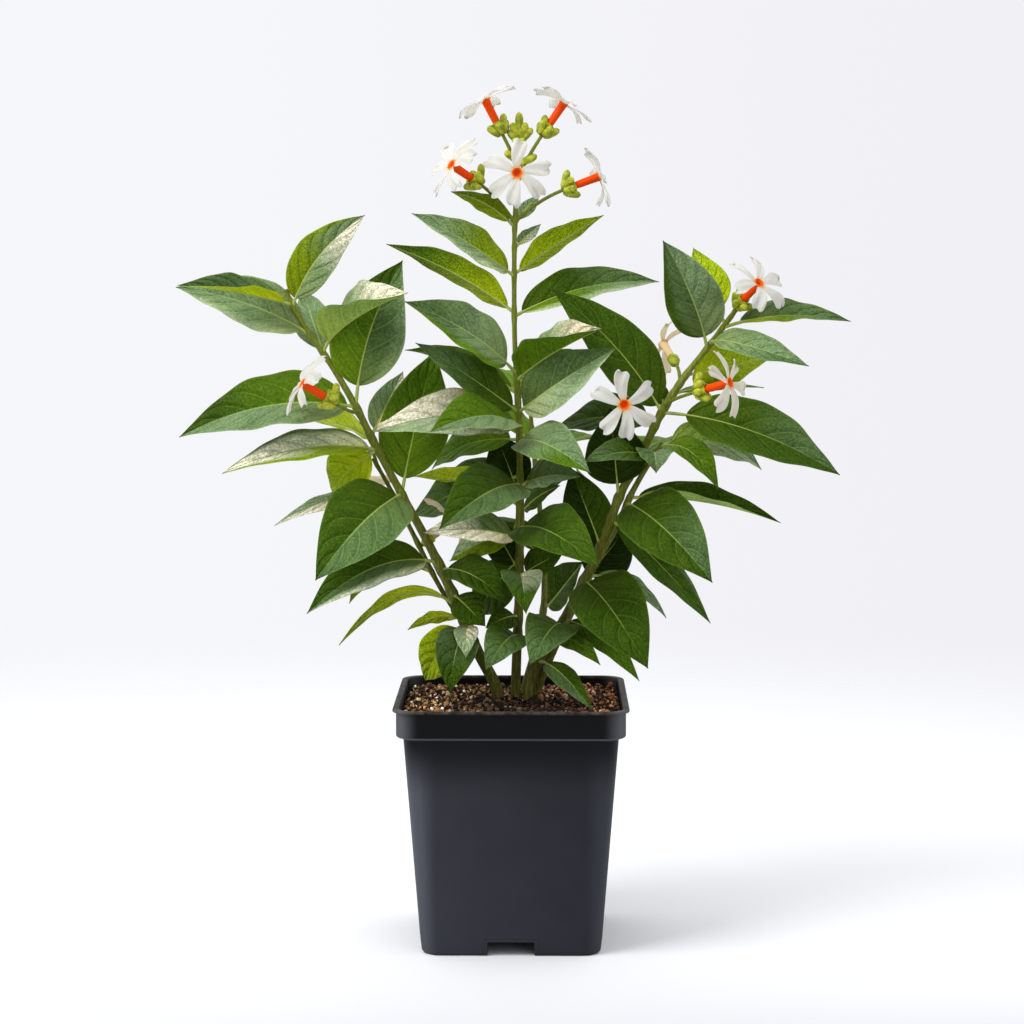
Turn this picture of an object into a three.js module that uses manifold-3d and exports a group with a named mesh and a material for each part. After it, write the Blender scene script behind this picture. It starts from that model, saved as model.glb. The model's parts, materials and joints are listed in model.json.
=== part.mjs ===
// A night-flowering jasmine in a square nursery pot: four leafy stems rooted in potting mix, with white
// pinwheel blooms on orange tubes. Millimetres, +Z up, the front towards -Y. The origin is the middle of
// the pot's base.
import * as THREE from "three";
import Module from "manifold-3d";

const wasm = await Module();
wasm.setup();

// Driving dimensions of the pot. A half is half the width of a square with rounded corners.
const POT_HEIGHT = 139;
const LIP_HALF = 65;
const LIP_HEIGHT = 1.8;
const COLLAR_HALF = 63;
const COLLAR_HEIGHT = 16;
const BODY_TOP_HALF = 59.5;
const BODY_BASE_HALF = 50;
const WALL = 1.6;
const CORNER_RADIUS = 11;
const CORNER_STEPS = 3;
const BASE_FILLET = 2.4;
const NOTCH_WIDE = 26;
const NOTCH_HIGH = 8;
const NOTCH_REACH = 30;
const DRAIN_RADIUS = 4;
const DRAIN_SIDES = 10;

// Driving dimensions of the potting mix.
const SOIL_LEVEL = 133;
const SOIL_MOUND = 2.2;
const CRUMB = 0.45;
const SEAT_GAP = 0.35;
const HOLE_GAP = 0.45;

// Driving dimensions of leaves, flower stalks, buds and blooms.
const BLADE_HALF_THICK = 0.43;
const MIDRIB_DEPTH = 1.0;
const BLADE_TIP = 0.35;
const FOLD = 14;
const WAVE = 0.035;
const WAVES = 2.5;
const PETIOLE = 5;
const LONG_PETIOLE = 7;
const PETIOLE_RADIUS = 1.1;
const STALK_RADIUS = 1.0;
const BUD_LENGTH = 9;
const BUD_RADIUS = 2.1;
const CALYX_RADIUS = 3.5;
const CALYX_LENGTH = 6;
const SOCKET_DEPTH = 3;
const TUBE_RADIUS = 2.1;
const TUBE_BORE = 1.4;
const TUBE_BORE_END = 0.98;
const TUBE_SIDES = 6;
const EYE_RADIUS = 2.75;
const TUBE_LENGTH = 16;
const TUBE_MOUTH_DEPTH = 5;
const PETAL_SEAT = 15;
const BLOOM_RADIUS = 19.5;
const PETAL_THICK = 0.8;
const PETAL_PITCH = 20;
const PETAL_CUP = 4;

// The plant is laid out on its front elevation, as the eye sees it from this distance and height. A place is
// [x, z, y]: x and z are read on the plane y = 0, and y is how far behind that plane the point lies.
const EYE_DISTANCE = 1493;
const EYE_HEIGHT = 386;
const EYE_ACROSS = 16;

// Each stem is a list of knots [z, x, y, radius] up the elevation. A shoot forks off the main stem.
const STEMS = {
  centre: [
    [106, 1.5, 8, 2.9], [140, 2, 8, 3.1], [200, 4, 3, 2.6], [260, 4.5, 0, 2.0], [300, 3.5, 0, 1.8],
    [340, 1.5, 0, 1.5], [400, 1.5, 0, 1.4], [425, 2.5, 0, 1.3], [452, 4, 0, 1.2],
  ],
  left: [
    [106, -7, 6, 3.4], [140, -8.5, 5, 3.7], [162, -19, 2, 3.4], [192, -32, -3, 3.1], [224, -47, -8, 2.7],
    [250, -61, -11, 2.4], [279, -76.5, -14, 2.2], [302, -88, -16, 2.1], [325, -101.5, -18, 1.8],
    [343, -114, -19, 1.6], [359, -123.5, -20, 1.4], [367, -126, -20, 1.2],
  ],
  left_shoot: [
    [172, -23.5, 0, 1.4], [200, -41, 6, 1.5], [226, -54, 5, 1.5], [254, -68, 1, 1.3], [272, -78, -7, 1.1],
  ],
  right: [
    [106, 7, 14, 3.8], [140, 13, 12, 4.0], [170, 25, 9, 3.7], [197, 38, 6, 3.4], [224, 51, 3, 3.0],
    [250, 60, 0, 2.7], [280, 75, -4, 2.4], [300, 85, -7, 2.3], [320, 98, -9, 1.9], [334, 109, -11, 1.7],
    [350, 121, -12, 1.4], [358, 127, -13, 1.2],
  ],
  right_shoot: [
    [108, 7, 3, 2.3], [148, 11, 3, 2.5], [166, 20.5, 5, 2.5], [184, 31, 4, 2.4], [202, 41, 3, 2.3],
    [219, 50.5, 2, 2.1], [236, 60, 1, 1.9], [252, 67, 1, 1.8], [268, 76, -1, 1.6], [281, 85, -2, 1.4],
  ],
  back: [
    [106, 6, 21, 2.3], [140, 7, 22, 2.4], [160, 12, 26, 2.2], [185, 17.5, 31, 2.0], [215, 18, 40, 1.8],
    [250, 15, 49, 1.6], [290, 11, 56, 1.4], [308, 10, 58, 1.2],
  ],
};

// A leaf grows from its stem at height at. Its tip is a place and wide its full width. A tilt of 0 lies flat,
// above 0 shows its upper face to the front and below 0 its underside. lift arches it away from its chord,
// most at the share peak of its length, and bow bends it within its own plane. fold closes its halves like
// a book, and twist turns its tip.
const LEAVES = {
  centre: [
    { at: 401, tip: [-34, 421, -12], wide: 17, tilt: -30, lift: 5 },
    { at: 402, tip: [15, 419, 22], wide: 10, tilt: 40, lift: 2 },
    { at: 388, tip: [16, 403, 14], wide: 9, tilt: 40, lift: 1, petiole: 4 },
    { at: 373, tip: [-56, 409, -28], wide: 27, tilt: 44, lift: 3 },
    { at: 374, tip: [51, 408, 18], wide: 22, tilt: -42, lift: 2, bow: -0.5, petiole: 4 },
    { at: 354, tip: [-70, 392, 14], wide: 26, tilt: -40, lift: 5 },
    { at: 352, tip: [82, 371, 34], wide: 28, tilt: 40, lift: 9, fold: 18, twist: 8 },
    { at: 320, tip: [-60, 360, -34], wide: 34, tilt: 48, lift: 7, petiole: 11 },
    { at: 316, tip: [50, 345, -44], wide: 37, tilt: 4, lift: 3, fold: 46, peak: 0.3, twist: 40 },
    { at: 309, tip: [-60, 333, 26], wide: 24, tilt: -34, lift: 6.5 },
    { at: 304, tip: [42, 331, 26], wide: 29, tilt: -38, lift: 7 },
    { at: 298, tip: [-54, 337, -30], wide: 26, tilt: 52, lift: 2 },
    { at: 298, tip: [58, 334, -36], wide: 32, tilt: 62, lift: 3 },
    { at: 290, tip: [-46, 287, -56], wide: 36, tilt: 46, lift: 9 },
    { at: 290, tip: [-78, 287, -24], wide: 34, tilt: 50, lift: 12 },
    { at: 281, tip: [44, 264, -52], wide: 30, tilt: 56, lift: 9 },
    { at: 282, tip: [-45, 266, 26], wide: 30, tilt: 42, lift: 9 },
    { at: 244, tip: [-55, 262, 46], wide: 26, tilt: -44, lift: 6 },
    { at: 257, tip: [-41, 232, -62], wide: 38, tilt: 52, lift: 9 },
    { at: 256, tip: [38, 262, -12], wide: 30, tilt: 34, lift: 4 },
    { at: 250, tip: [-9, 286, 14], wide: 27, tilt: 84, lift: 2 },
    { at: 240, tip: [27, 257, 20], wide: 18, tilt: -50, lift: 3 },
    { at: 232, tip: [49, 211, -60], wide: 38, tilt: 52, lift: 10 },
    { at: 226, tip: [-50, 230, -22], wide: 27, tilt: 40, lift: 5 },
    { at: 208, tip: [-14, 240, 5], wide: 22, tilt: 80, lift: 0 },
    { at: 206, tip: [8, 184, -54], wide: 24, tilt: 30, lift: 8 },
    { at: 205, tip: [29, 219, 2], wide: 20, tilt: 50, lift: 2 },
    { at: 237, tip: [-7, 208, 46], wide: 24, tilt: 60, lift: 4 },
    { at: 262, tip: [-56, 240, 74], wide: 34, tilt: 62, lift: 6 },
    { at: 229, tip: [-35, 214, 4], wide: 22, tilt: 50, lift: 6 },
    { at: 216, tip: [-21, 183, 26], wide: 28, tilt: 66, lift: 4 },
    { at: 183, tip: [-15, 176, -14], wide: 15, tilt: 58, lift: 4 },
    { at: 172, tip: [-15, 152, -40], wide: 26, tilt: 55, lift: 8 },
  ],
  left: [
    { at: 357, tip: [-82, 408, -12], wide: 26, tilt: 68, lift: 8, bow: -3.5 },
    { at: 358, tip: [-187, 369, -56], wide: 22, tilt: 12, lift: 2, fold: 44, twist: -36 },
    { at: 342, tip: [-188, 368, -20], wide: 35, tilt: 50, lift: 3, bow: 3 },
    { at: 331, tip: [-58, 365, -58], wide: 39, tilt: 8, lift: 6, fold: 46, peak: 0.22, petiole: 8, twist: 44 },
    { at: 301, tip: [-61, 383, -14], wide: 42, tilt: 82, lift: 3, petiole: 12, bow: -5 },
    { at: 301, tip: [-187, 284, -20], wide: 41, tilt: 46, lift: 11, bow: 2 },
    { at: 282, tip: [-115, 294, 32], wide: 32, tilt: -50, lift: 4 },
    { at: 284, tip: [-61, 321, 26], wide: 18, tilt: 76, lift: 2, petiole: 6 },
    { at: 277, tip: [-163, 263.5, -30], wide: 27, tilt: 36, lift: 9 },
    { at: 277, tip: [-101, 253, 4], wide: 28, tilt: 70, lift: 8 },
    { at: 252, tip: [-43, 333, 16], wide: 40, tilt: 80, lift: 3, petiole: 9, bow: -1 },
    { at: 252, tip: [-111, 203, -52], wide: 46, tilt: 60, lift: 12 },
    { at: 213, tip: [-116, 184, -50], wide: 31, tilt: 46, lift: 12, petiole: 10, bow: 4 },
    { at: 209, tip: [-3, 190, -28], wide: 27, tilt: 34, lift: 8 },
    { at: 196, tip: [-15, 177, -16], wide: 19, tilt: 70, lift: 4 },
    { at: 187, tip: [-98, 166, -10], wide: 16, tilt: -34, lift: 20, peak: 0.28, petiole: 12 },
    { at: 181, tip: [-59, 175, 8], wide: 15, tilt: -34, lift: 5, petiole: 5 },
    { at: 177, tip: [-49, 146, 6], wide: 24, tilt: 60, lift: 13, peak: 0.3, petiole: 6 },
    { at: 176, tip: [-35, 139, -30], wide: 25, tilt: 62, lift: 9, petiole: 6, bow: 2 },
    { at: 178, tip: [-26, 159, -32], wide: 14, tilt: 60, lift: 5, petiole: 4 },
    { at: 330, tip: [-117, 366, 30], wide: 22, tilt: 80, lift: 2 },
  ],
  left_shoot: [
    { at: 250, tip: [-134, 234, -20], wide: 18, tilt: 26, lift: 8 },
    { at: 208, tip: [-92, 190, 48], wide: 32, tilt: 0, lift: 10 },
  ],
  right: [
    { at: 334, tip: [84, 394, -30], wide: 33, tilt: 74, lift: 5, petiole: 8, bow: 2 },
    { at: 347, tip: [101, 390, 6], wide: 24, tilt: -76, lift: -4, petiole: 9 },
    { at: 345, tip: [189, 349, -16], wide: 24, tilt: 30, lift: 6, fold: 18, petiole: 10 },
    { at: 336, tip: [166, 324, -38], wide: 21, tilt: 44, lift: 6, peak: 0.05, petiole: 5 },
    { at: 319, tip: [148, 331, 26], wide: 38, tilt: -62, lift: -1 },
    { at: 308, tip: [141, 312, 36], wide: 14, tilt: 14, lift: 3 },
    { at: 298, tip: [184, 263, -18], wide: 38, tilt: 50, lift: 9, petiole: 14, bow: -2 },
    { at: 298, tip: [22, 367, -10], wide: 35, tilt: 58, lift: 6, bow: 3 },
    { at: 300, tip: [83, 316, 14], wide: 9, tilt: 70, lift: 0, petiole: 3 },
    { at: 290, tip: [24, 288, 32], wide: 34, tilt: 40, lift: 8 },
    { at: 250, tip: [55, 301, -20], wide: 36, tilt: 84, lift: 0, petiole: 9 },
    { at: 238, tip: [112, 179, 10], wide: 22, tilt: 42, lift: 9, bow: 4 },
    { at: 232, tip: [36, 267, 34], wide: 12, tilt: 60, lift: 0 },
    { at: 222, tip: [33, 267, 12], wide: 28, tilt: 84, lift: 3 },
    { at: 203, tip: [68, 237, 30], wide: 32, tilt: 84, lift: -4 },
    { at: 203, tip: [77, 153, -42], wide: 42, tilt: 60, lift: 11 },
    { at: 262, tip: [92, 282, 70], wide: 34, tilt: 0, lift: 8 },
  ],
  right_shoot: [
    { at: 280, tip: [140, 266, 14], wide: 30, tilt: 40, lift: 11 },
    { at: 279, tip: [116, 255, -24], wide: 20, tilt: 32, lift: 11 },
    { at: 273, tip: [81, 264, -38], wide: 22, tilt: 60, lift: 6, petiole: 5 },
    { at: 272, tip: [40, 270, -38], wide: 20, tilt: 46, lift: 6 },
    { at: 250, tip: [151, 236, 6], wide: 22, tilt: 6, lift: 5, fold: 44, twist: 40 },
    { at: 247, tip: [113, 202, -46], wide: 42, tilt: 60, lift: 11 },
    { at: 206, tip: [87, 182, 12], wide: 18, tilt: 30, lift: 9 },
    { at: 178, tip: [10, 155, -46], wide: 30, tilt: 52, lift: 8 },
    { at: 181, tip: [72, 146, -16], wide: 17, tilt: 38, lift: 10 },
    { at: 168, tip: [50, 155, -26], wide: 16, tilt: 34, lift: 9, petiole: 5 },
    { at: 156, tip: [46, 129, -34], wide: 14, tilt: 44, lift: 8, peak: 0.35, petiole: 10 },
  ],
  back: [
    { at: 186, tip: [40, 214, 58], wide: 28, tilt: -60, lift: 0 },
    { at: 216, tip: [-42, 234, 92], wide: 36, tilt: 0, lift: 9 },
    { at: 216, tip: [62, 222, 88], wide: 36, tilt: 0, lift: 9 },
    { at: 250, tip: [14, 248, 130], wide: 40, tilt: 0, lift: 10 },
    { at: 278, tip: [-42, 300, 100], wide: 36, tilt: 0, lift: 9 },
    { at: 268, tip: [64, 280, 98], wide: 32, tilt: 0, lift: 9 },
    { at: 300, tip: [4, 318, 124], wide: 34, tilt: 0, lift: 9 },
  ],
};

// A bloom's stalk leaves its stem at height at. seat is the place of its tube's foot, axis the way it faces
// (x, y, z) and buds how many crowd its cup. turns are the petals' directions, in degrees from its right.
const EVEN = [0, 60, 120, 180, 240, 300];
const BLOOMS = {
  top_left: { stem: "centre", at: 436, seat: [-8, 458, 0], axis: [-0.43, 0.12, 0.85], buds: 3, turns: EVEN },
  top_right: { stem: "centre", at: 428, seat: [20, 457, 0], axis: [0.54, 0.12, 0.79], buds: 3, turns: EVEN },
  upper_left: {
    stem: "centre", at: 403, seat: [-22, 428, -12], axis: [-0.72, -0.5, 0.48], buds: 2,
    turns: [12, 72, 132, 192, 252, 312],
  },
  front: {
    stem: "centre", at: 424, seat: [3, 430, -7], axis: [0, -1, 0.06], buds: 0,
    turns: [15, 90, 155, 213, 267, 322],
  },
  upper_right: { stem: "centre", at: 404, seat: [34, 424, 0], axis: [0.91, 0.15, 0.34], buds: 3, turns: EVEN },
  left_side: {
    stem: "left", at: 299, seat: [-104, 306, -44], axis: [-0.8, -0.25, 0.52], buds: 2,
    turns: [20, 80, 140, 200, 260, 320],
  },
  right_top: {
    stem: "right", at: 351, seat: [129, 361, -17], axis: [0.5, -0.62, 0.6], buds: 2,
    turns: [7, 67, 127, 187, 247, 307],
  },
  right_side: {
    stem: "right", at: 302, seat: [108, 311, -42], axis: [0.82, -0.5, 0.26], buds: 3,
    turns: [39, 99, 159, 219, 279, 339],
  },
  right_front: {
    stem: "right", at: 270, seat: [62, 302, -40], axis: [0.03, -1, 0.08], buds: 0,
    turns: [30, 95, 160, 226, 278, 330],
  },
  right_back: {
    stem: "right", at: 314, seat: [90, 328, 4], axis: [-0.3, 0.8, 0.5], buds: 0, turns: [75, 125, 250, 300],
  },
  left_faded: {
    stem: "left_shoot", at: 268, seat: [-83, 271, 24], axis: [-0.3, 0.75, -0.6], buds: 0,
    turns: [60, 120, 200, 260],
  },
  left_back: {
    stem: "left_shoot", at: 224, seat: [-46, 227, 16], axis: [0.74, 0.3, 0.6], buds: 0,
    turns: [70, 130, 210, 280],
  },
};

const UP = new THREE.Vector3(0, 0, 1);
const rad = THREE.MathUtils.degToRad;
const lerp = THREE.MathUtils.lerp;

// The point of space that a place of the elevation stands for.
function spot([x, z, y]) {
  const spread = 1 + y / EYE_DISTANCE;
  return new THREE.Vector3(lerp(EYE_ACROSS, x, spread), y, lerp(EYE_HEIGHT, z, spread));
}

// A manifold solid from corners and triangles, turned right side out if its faces point inwards.
function solid(points, faces) {
  const corners = new Float32Array(points.flatMap((p) => p.toArray()));
  const make = (list) => {
    const triVerts = new Uint32Array(list);
    return new wasm.Manifold(new wasm.Mesh({ numProp: 3, vertProperties: corners, triVerts }));
  };
  const made = make(faces);
  return made.volume() >= 0 ? made : make(faces.toReversed());
}

// A closed solid through rings of points, all of one count, each end shut by a fan round its middle. Quads
// on the second half of a ring are split the other way, so that a thin blade's two faces are split alike.
function loft(rings) {
  const around = rings[0].length;
  const points = rings.flat();
  const faces = [];
  for (let r = 0; r + 1 < rings.length; r++) {
    for (let i = 0; i < around; i++) {
      const a = r * around + i;
      const b = r * around + ((i + 1) % around);
      const [c, d] = [b + around, a + around];
      faces.push(...(i < around / 2 ? [a, b, c, a, c, d] : [a, b, d, b, c, d]));
    }
  }
  for (const r of [0, rings.length - 1]) {
    const middle = points.length;
    points.push(rings[r].reduce((sum, p) => sum.add(p), new THREE.Vector3()).divideScalar(around));
    for (let i = 0; i < around; i++) {
      const a = r * around + i;
      const b = r * around + ((i + 1) % around);
      faces.push(...(r ? [a, b, middle] : [b, a, middle]));
    }
  }
  return solid(points, faces);
}

// An upright box round the point (x, y), from height z up.
function box(wide, deep, high, x, y, z) {
  const ring = (height) =>
    [[-1, -1], [1, -1], [1, 1], [-1, 1]].map(
      ([sx, sy]) => new THREE.Vector3(x + (sx * wide) / 2, y + (sy * deep) / 2, height),
    );
  return loft([ring(z), ring(z + high)]);
}

// A round ring of points about a centre, in the plane of two unit vectors.
function ringRound(centre, across, other, radius, sides) {
  return Array.from({ length: sides }, (_, k) => {
    const turn = (2 * Math.PI * k) / sides;
    const point = centre.clone().addScaledVector(across, radius * Math.cos(turn));
    return point.addScaledVector(other, radius * Math.sin(turn));
  });
}

// A tapering rod along points: every ring is square to the line, and all start from the axis of space that
// the line keeps furthest from, so that the rod doesn't twist.
function rod(points, radii, sides) {
  const ways = points.map((_, i) =>
    points[Math.min(i + 1, points.length - 1)].clone().sub(points[Math.max(i - 1, 0)]).normalize(),
  );
  const worst = (axis) => Math.max(...ways.map((way) => Math.abs(way.dot(axis))));
  const axes = [new THREE.Vector3(1, 0, 0), new THREE.Vector3(0, 1, 0), UP];
  const start = axes.toSorted((a, b) => worst(a) - worst(b))[0];
  const rings = points.map((p, i) => {
    const across = start.clone().addScaledVector(ways[i], -start.dot(ways[i])).normalize();
    return ringRound(p, across, ways[i].clone().cross(across), radii[i], sides);
  });
  return loft(rings);
}

// A square ring with rounded corners at one height.
function squareRing(half, z, radius = CORNER_RADIUS) {
  const corners = [[1, 1], [-1, 1], [-1, -1], [1, -1]];
  return corners.flatMap(([sx, sy], corner) =>
    Array.from({ length: CORNER_STEPS + 1 }, (_, step) => {
      const turn = (corner + step / CORNER_STEPS) * (Math.PI / 2);
      const x = sx * (half - radius) + radius * Math.cos(turn);
      const y = sy * (half - radius) + radius * Math.sin(turn);
      return new THREE.Vector3(x, y, z);
    }),
  );
}

// The pot's inner wall as [z, half]: it tapers up to a ledge under the collar and is upright above it.
const LEDGE = POT_HEIGHT - COLLAR_HEIGHT;
const INNER_WALL = [
  [WALL, BODY_BASE_HALF - WALL],
  [LEDGE, BODY_TOP_HALF - WALL],
  [LEDGE + WALL, COLLAR_HALF - WALL],
];

// The four sides as turns about +Z, the front first.
const SIDES = [0, 90, 180, 270];

// A block on the middle of every side, from reach before the pot's middle out to end.
function onEachSide(wide, high, z, reach, end) {
  const block = box(wide, end - reach, high, 0, -(reach + end) / 2, z);
  return wasm.Manifold.union(SIDES.map((turn) => block.rotate([0, 0, turn])));
}

// The pot: one thin moulded shell with a collar and a lip. A low recess runs in under the middle of each
// side, its roof a step in the floor, with a drain hole.
function makePot() {
  const shell = loft([
    squareRing(BODY_BASE_HALF - BASE_FILLET, 0, CORNER_RADIUS - BASE_FILLET),
    squareRing(BODY_BASE_HALF, BASE_FILLET),
    squareRing(BODY_TOP_HALF, LEDGE),
    squareRing(COLLAR_HALF, LEDGE),
    squareRing(COLLAR_HALF, POT_HEIGHT - LIP_HEIGHT),
    squareRing(LIP_HALF, POT_HEIGHT - LIP_HEIGHT, CORNER_RADIUS + LIP_HALF - COLLAR_HALF),
    squareRing(LIP_HALF, POT_HEIGHT, CORNER_RADIUS + LIP_HALF - COLLAR_HALF),
    squareRing(COLLAR_HALF - WALL, POT_HEIGHT),
    ...INNER_WALL.toReversed().map(([z, half]) => squareRing(half, z)),
  ]);
  const inner = BODY_BASE_HALF - NOTCH_REACH;
  const roofs = onEachSide(NOTCH_WIDE + 2 * WALL, NOTCH_HIGH, WALL, inner - WALL, BODY_BASE_HALF - WALL / 2);
  const recesses = onEachSide(NOTCH_WIDE, NOTCH_HIGH + 1, -1, inner, BODY_BASE_HALF + WALL);
  const drainPlace = (inner + BODY_BASE_HALF) / 2;
  const drain = rod(
    [NOTCH_HIGH - 1, NOTCH_HIGH + 2 * WALL].map((z) => new THREE.Vector3(0, -drainPlace, z)),
    [DRAIN_RADIUS, DRAIN_RADIUS],
    DRAIN_SIDES,
  );
  const drains = wasm.Manifold.union(SIDES.map((turn) => drain.rotate([0, 0, turn])));
  return shell.add(roofs).subtract(recesses).subtract(drains);
}

// A stem's middle line and radii, with steps points to each stretch between knots.
function stemRun(name, steps) {
  const knots = STEMS[name];
  const line = new THREE.CatmullRomCurve3(knots.map(([z, x, y]) => spot([x, z, y])), false, "centripetal");
  const count = (knots.length - 1) * steps;
  const points = line.getPoints(count);
  const radii = points.map((_, i) => {
    const knot = Math.min(Math.floor(i / steps), knots.length - 2);
    return lerp(knots[knot][3], knots[knot + 1][3], i / steps - knot);
  });
  return { points, radii };
}

// The point on a stem's middle line at a height of the elevation.
function onStem(name, height) {
  const knots = STEMS[name];
  const lower = Math.min(Math.max(knots.findLastIndex(([z]) => z <= height), 0), knots.length - 2);
  const share = (height - knots[lower][0]) / (knots[lower + 1][0] - knots[lower][0]);
  const line = new THREE.CatmullRomCurve3(knots.map(([z, x, y]) => spot([x, z, y])), false, "centripetal");
  return line.getPoint((lower + share) / (knots.length - 1));
}

const STEM_SIDES = 5;
const STEM_STEPS = 1;

// The potting mix: it fills the pot inside, its top a low mound of crumbs, with a plain hole for each stem.
function makeSoil() {
  const wall = INNER_WALL.map(([z, half]) => [z + SEAT_GAP, half - SEAT_GAP]);
  const outline = wall.map(([z, half]) => squareRing(half, z, CORNER_RADIUS - SEAT_GAP));
  const topHalf = COLLAR_HALF - WALL - SEAT_GAP;
  const shares = [1, 0.84, 0.67, 0.5, 0.33, 0.17];
  const top = shares.map((share) =>
    squareRing(topHalf, SOIL_LEVEL, CORNER_RADIUS - SEAT_GAP).map((p) => {
      const [x, y] = [p.x * share, p.y * share];
      const mound = SOIL_MOUND * (1 - share * share);
      const crumbs = CRUMB * (Math.sin(x * 0.83 + y * 0.31) + Math.sin(y * 0.71 - x * 0.43 + 2));
      return new THREE.Vector3(x, y, SOIL_LEVEL + mound + crumbs);
    }),
  );
  const roofs = onEachSide(
    NOTCH_WIDE + 2 * (WALL + SEAT_GAP),
    NOTCH_HIGH + SEAT_GAP,
    WALL,
    BODY_BASE_HALF - NOTCH_REACH - WALL - SEAT_GAP,
    BODY_BASE_HALF,
  );
  const rooted = Object.keys(STEMS).filter((name) => STEMS[name][0][0] < SOIL_LEVEL);
  const holes = rooted.map((name) => {
    const { points, radii } = stemRun(name, STEM_STEPS);
    points[0].add(points[0].clone().sub(points[1]).setLength(SEAT_GAP));
    return rod(points, radii.map((radius) => radius + HOLE_GAP), STEM_SIDES);
  });
  return loft([...outline, ...top]).subtract(roofs).subtract(wasm.Manifold.union(holes));
}

// Half the width of a blade of unit width, at a share of its length: it swells soon after the base and
// draws out to a long point.
function bladeHalf(share) {
  return (0.5 * share ** 0.65 * (1 - share) ** 1.15) / 0.308;
}

// Where a blade has its rings, as shares of its length, by the least length.
const LONG_BLADE = [60, [0.09, 0.28, 0.5, 0.75, 1]];
const MIDDLE_BLADE = [36, [0.12, 0.4, 0.72, 1]];
const SHORT_BLADE = [0, [0.2, 0.6, 1]];

// A narrower blade than this has no fold.
const NARROW_BLADE = 20;

// One leaf: a loft of rings along an arched midrib, as thick as wide in the petiole and thin in the blade.
function makeLeaf(stem, leaf) {
  const { at, tip, wide, tilt, lift, bow = 0, peak = 0.45, twist = 0, petiole = PETIOLE } = leaf;
  const fold = wide < NARROW_BLADE ? 0 : (leaf.fold ?? FOLD);
  const root = onStem(stem, at);
  const end = spot(tip);
  const chord = end.clone().sub(root);
  const face = new THREE.Vector3(0, -Math.sin(rad(tilt)), Math.cos(rad(tilt)));
  const squareTo = (way) => face.clone().addScaledVector(way, -face.dot(way)).normalize();
  const rise = squareTo(chord.clone().normalize());
  const aside = chord.clone().normalize().cross(rise);
  const knee = root
    .clone()
    .addScaledVector(chord, peak)
    .addScaledVector(rise, 2 * lift)
    .addScaledVector(aside, 2 * bow);
  const midrib = new THREE.QuadraticBezierCurve3(root, knee, end);
  const blade = midrib.getLength() - petiole;
  const shares = [LONG_BLADE, MIDDLE_BLADE, SHORT_BLADE].find(([least]) => blade > least)[1];
  const ring = (along, half, crown, keel, rim, wave) => {
    const way = midrib.getTangentAt(along);
    const share = Math.max(0, (along * (blade + petiole) - petiole) / blade);
    const normal = squareTo(way).applyAxisAngle(way, rad(twist * share));
    const across = way.clone().cross(normal);
    const point = (side, height) =>
      midrib.getPointAt(along).addScaledVector(across, side).addScaledVector(normal, height);
    const out = half * Math.cos(rad(fold));
    const up = half * Math.sin(rad(fold));
    const upper = [point(out, up + wave + rim), point(0, crown), point(-out, up - wave + rim)];
    const under = [point(-out, up - wave - rim), point(0, -keel), point(out, up + wave - rim)];
    return wide < NARROW_BLADE ? [upper[0], upper[2], under[0], under[2]] : [...upper, ...under];
  };
  const radius = PETIOLE_RADIUS;
  const joints = petiole > LONG_PETIOLE ? [0, petiole / (blade + petiole)] : [0];
  const petioleRings = joints.map((along) => ring(along, radius, radius, radius, radius / 2, 0));
  const bladeRings = shares.map((share) => {
    const along = (petiole + share * blade) / (petiole + blade);
    const half = Math.max(wide * bladeHalf(share), BLADE_TIP);
    const keel = lerp(MIDRIB_DEPTH, BLADE_HALF_THICK, share);
    const wave = WAVE * half * 2 * Math.sin(2 * Math.PI * WAVES * share + at);
    return ring(along, half, BLADE_HALF_THICK, keel, BLADE_HALF_THICK, wave);
  });
  return loft([...petioleRings, ...bladeRings]);
}

// A bloom's own frame: its seat, the way it faces, its right and its up.
function bloomFrame({ seat, axis }) {
  const out = new THREE.Vector3(...axis).normalize();
  const right = UP.clone().cross(out).normalize();
  return { foot: spot(seat), out, right, up: out.clone().cross(right) };
}

// A round body on a bloom's axis: rings [distance along the axis, radius].
function turned({ foot, out, right, up }, rings) {
  const centre = (along) => foot.clone().addScaledVector(out, along);
  return loft(rings.map(([along, radius]) => ringRound(centre(along), right, up, radius, TUBE_SIDES)));
}

// A bud's rings: [share of its length, share of its full radius].
const BUD_RINGS = [[-0.15, 0.6], [0.45, 1], [1, 0.55]];
const BUD_SIDES = 4;

// A blunt bud from its foot, along a way.
function makeBud(foot, way, length) {
  const points = BUD_RINGS.map(([along]) => foot.clone().addScaledVector(way, along * length));
  return rod(points, BUD_RINGS.map(([, swell]) => swell * BUD_RADIUS), BUD_SIDES);
}

// The cup's rings: [distance along the bloom's axis from the tube's foot, radius].
const CUP_RINGS = [[-CALYX_LENGTH, 1.3], [-CALYX_LENGTH / 2, 3], [0.6, CALYX_RADIUS]];
const STALK_STEPS = 3;

// The buds at a cup crowd round its lower side: the first one's turn and the spread of all, in degrees.
const BUD_TURN = 200;
const BUD_SPREAD = 150;

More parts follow.
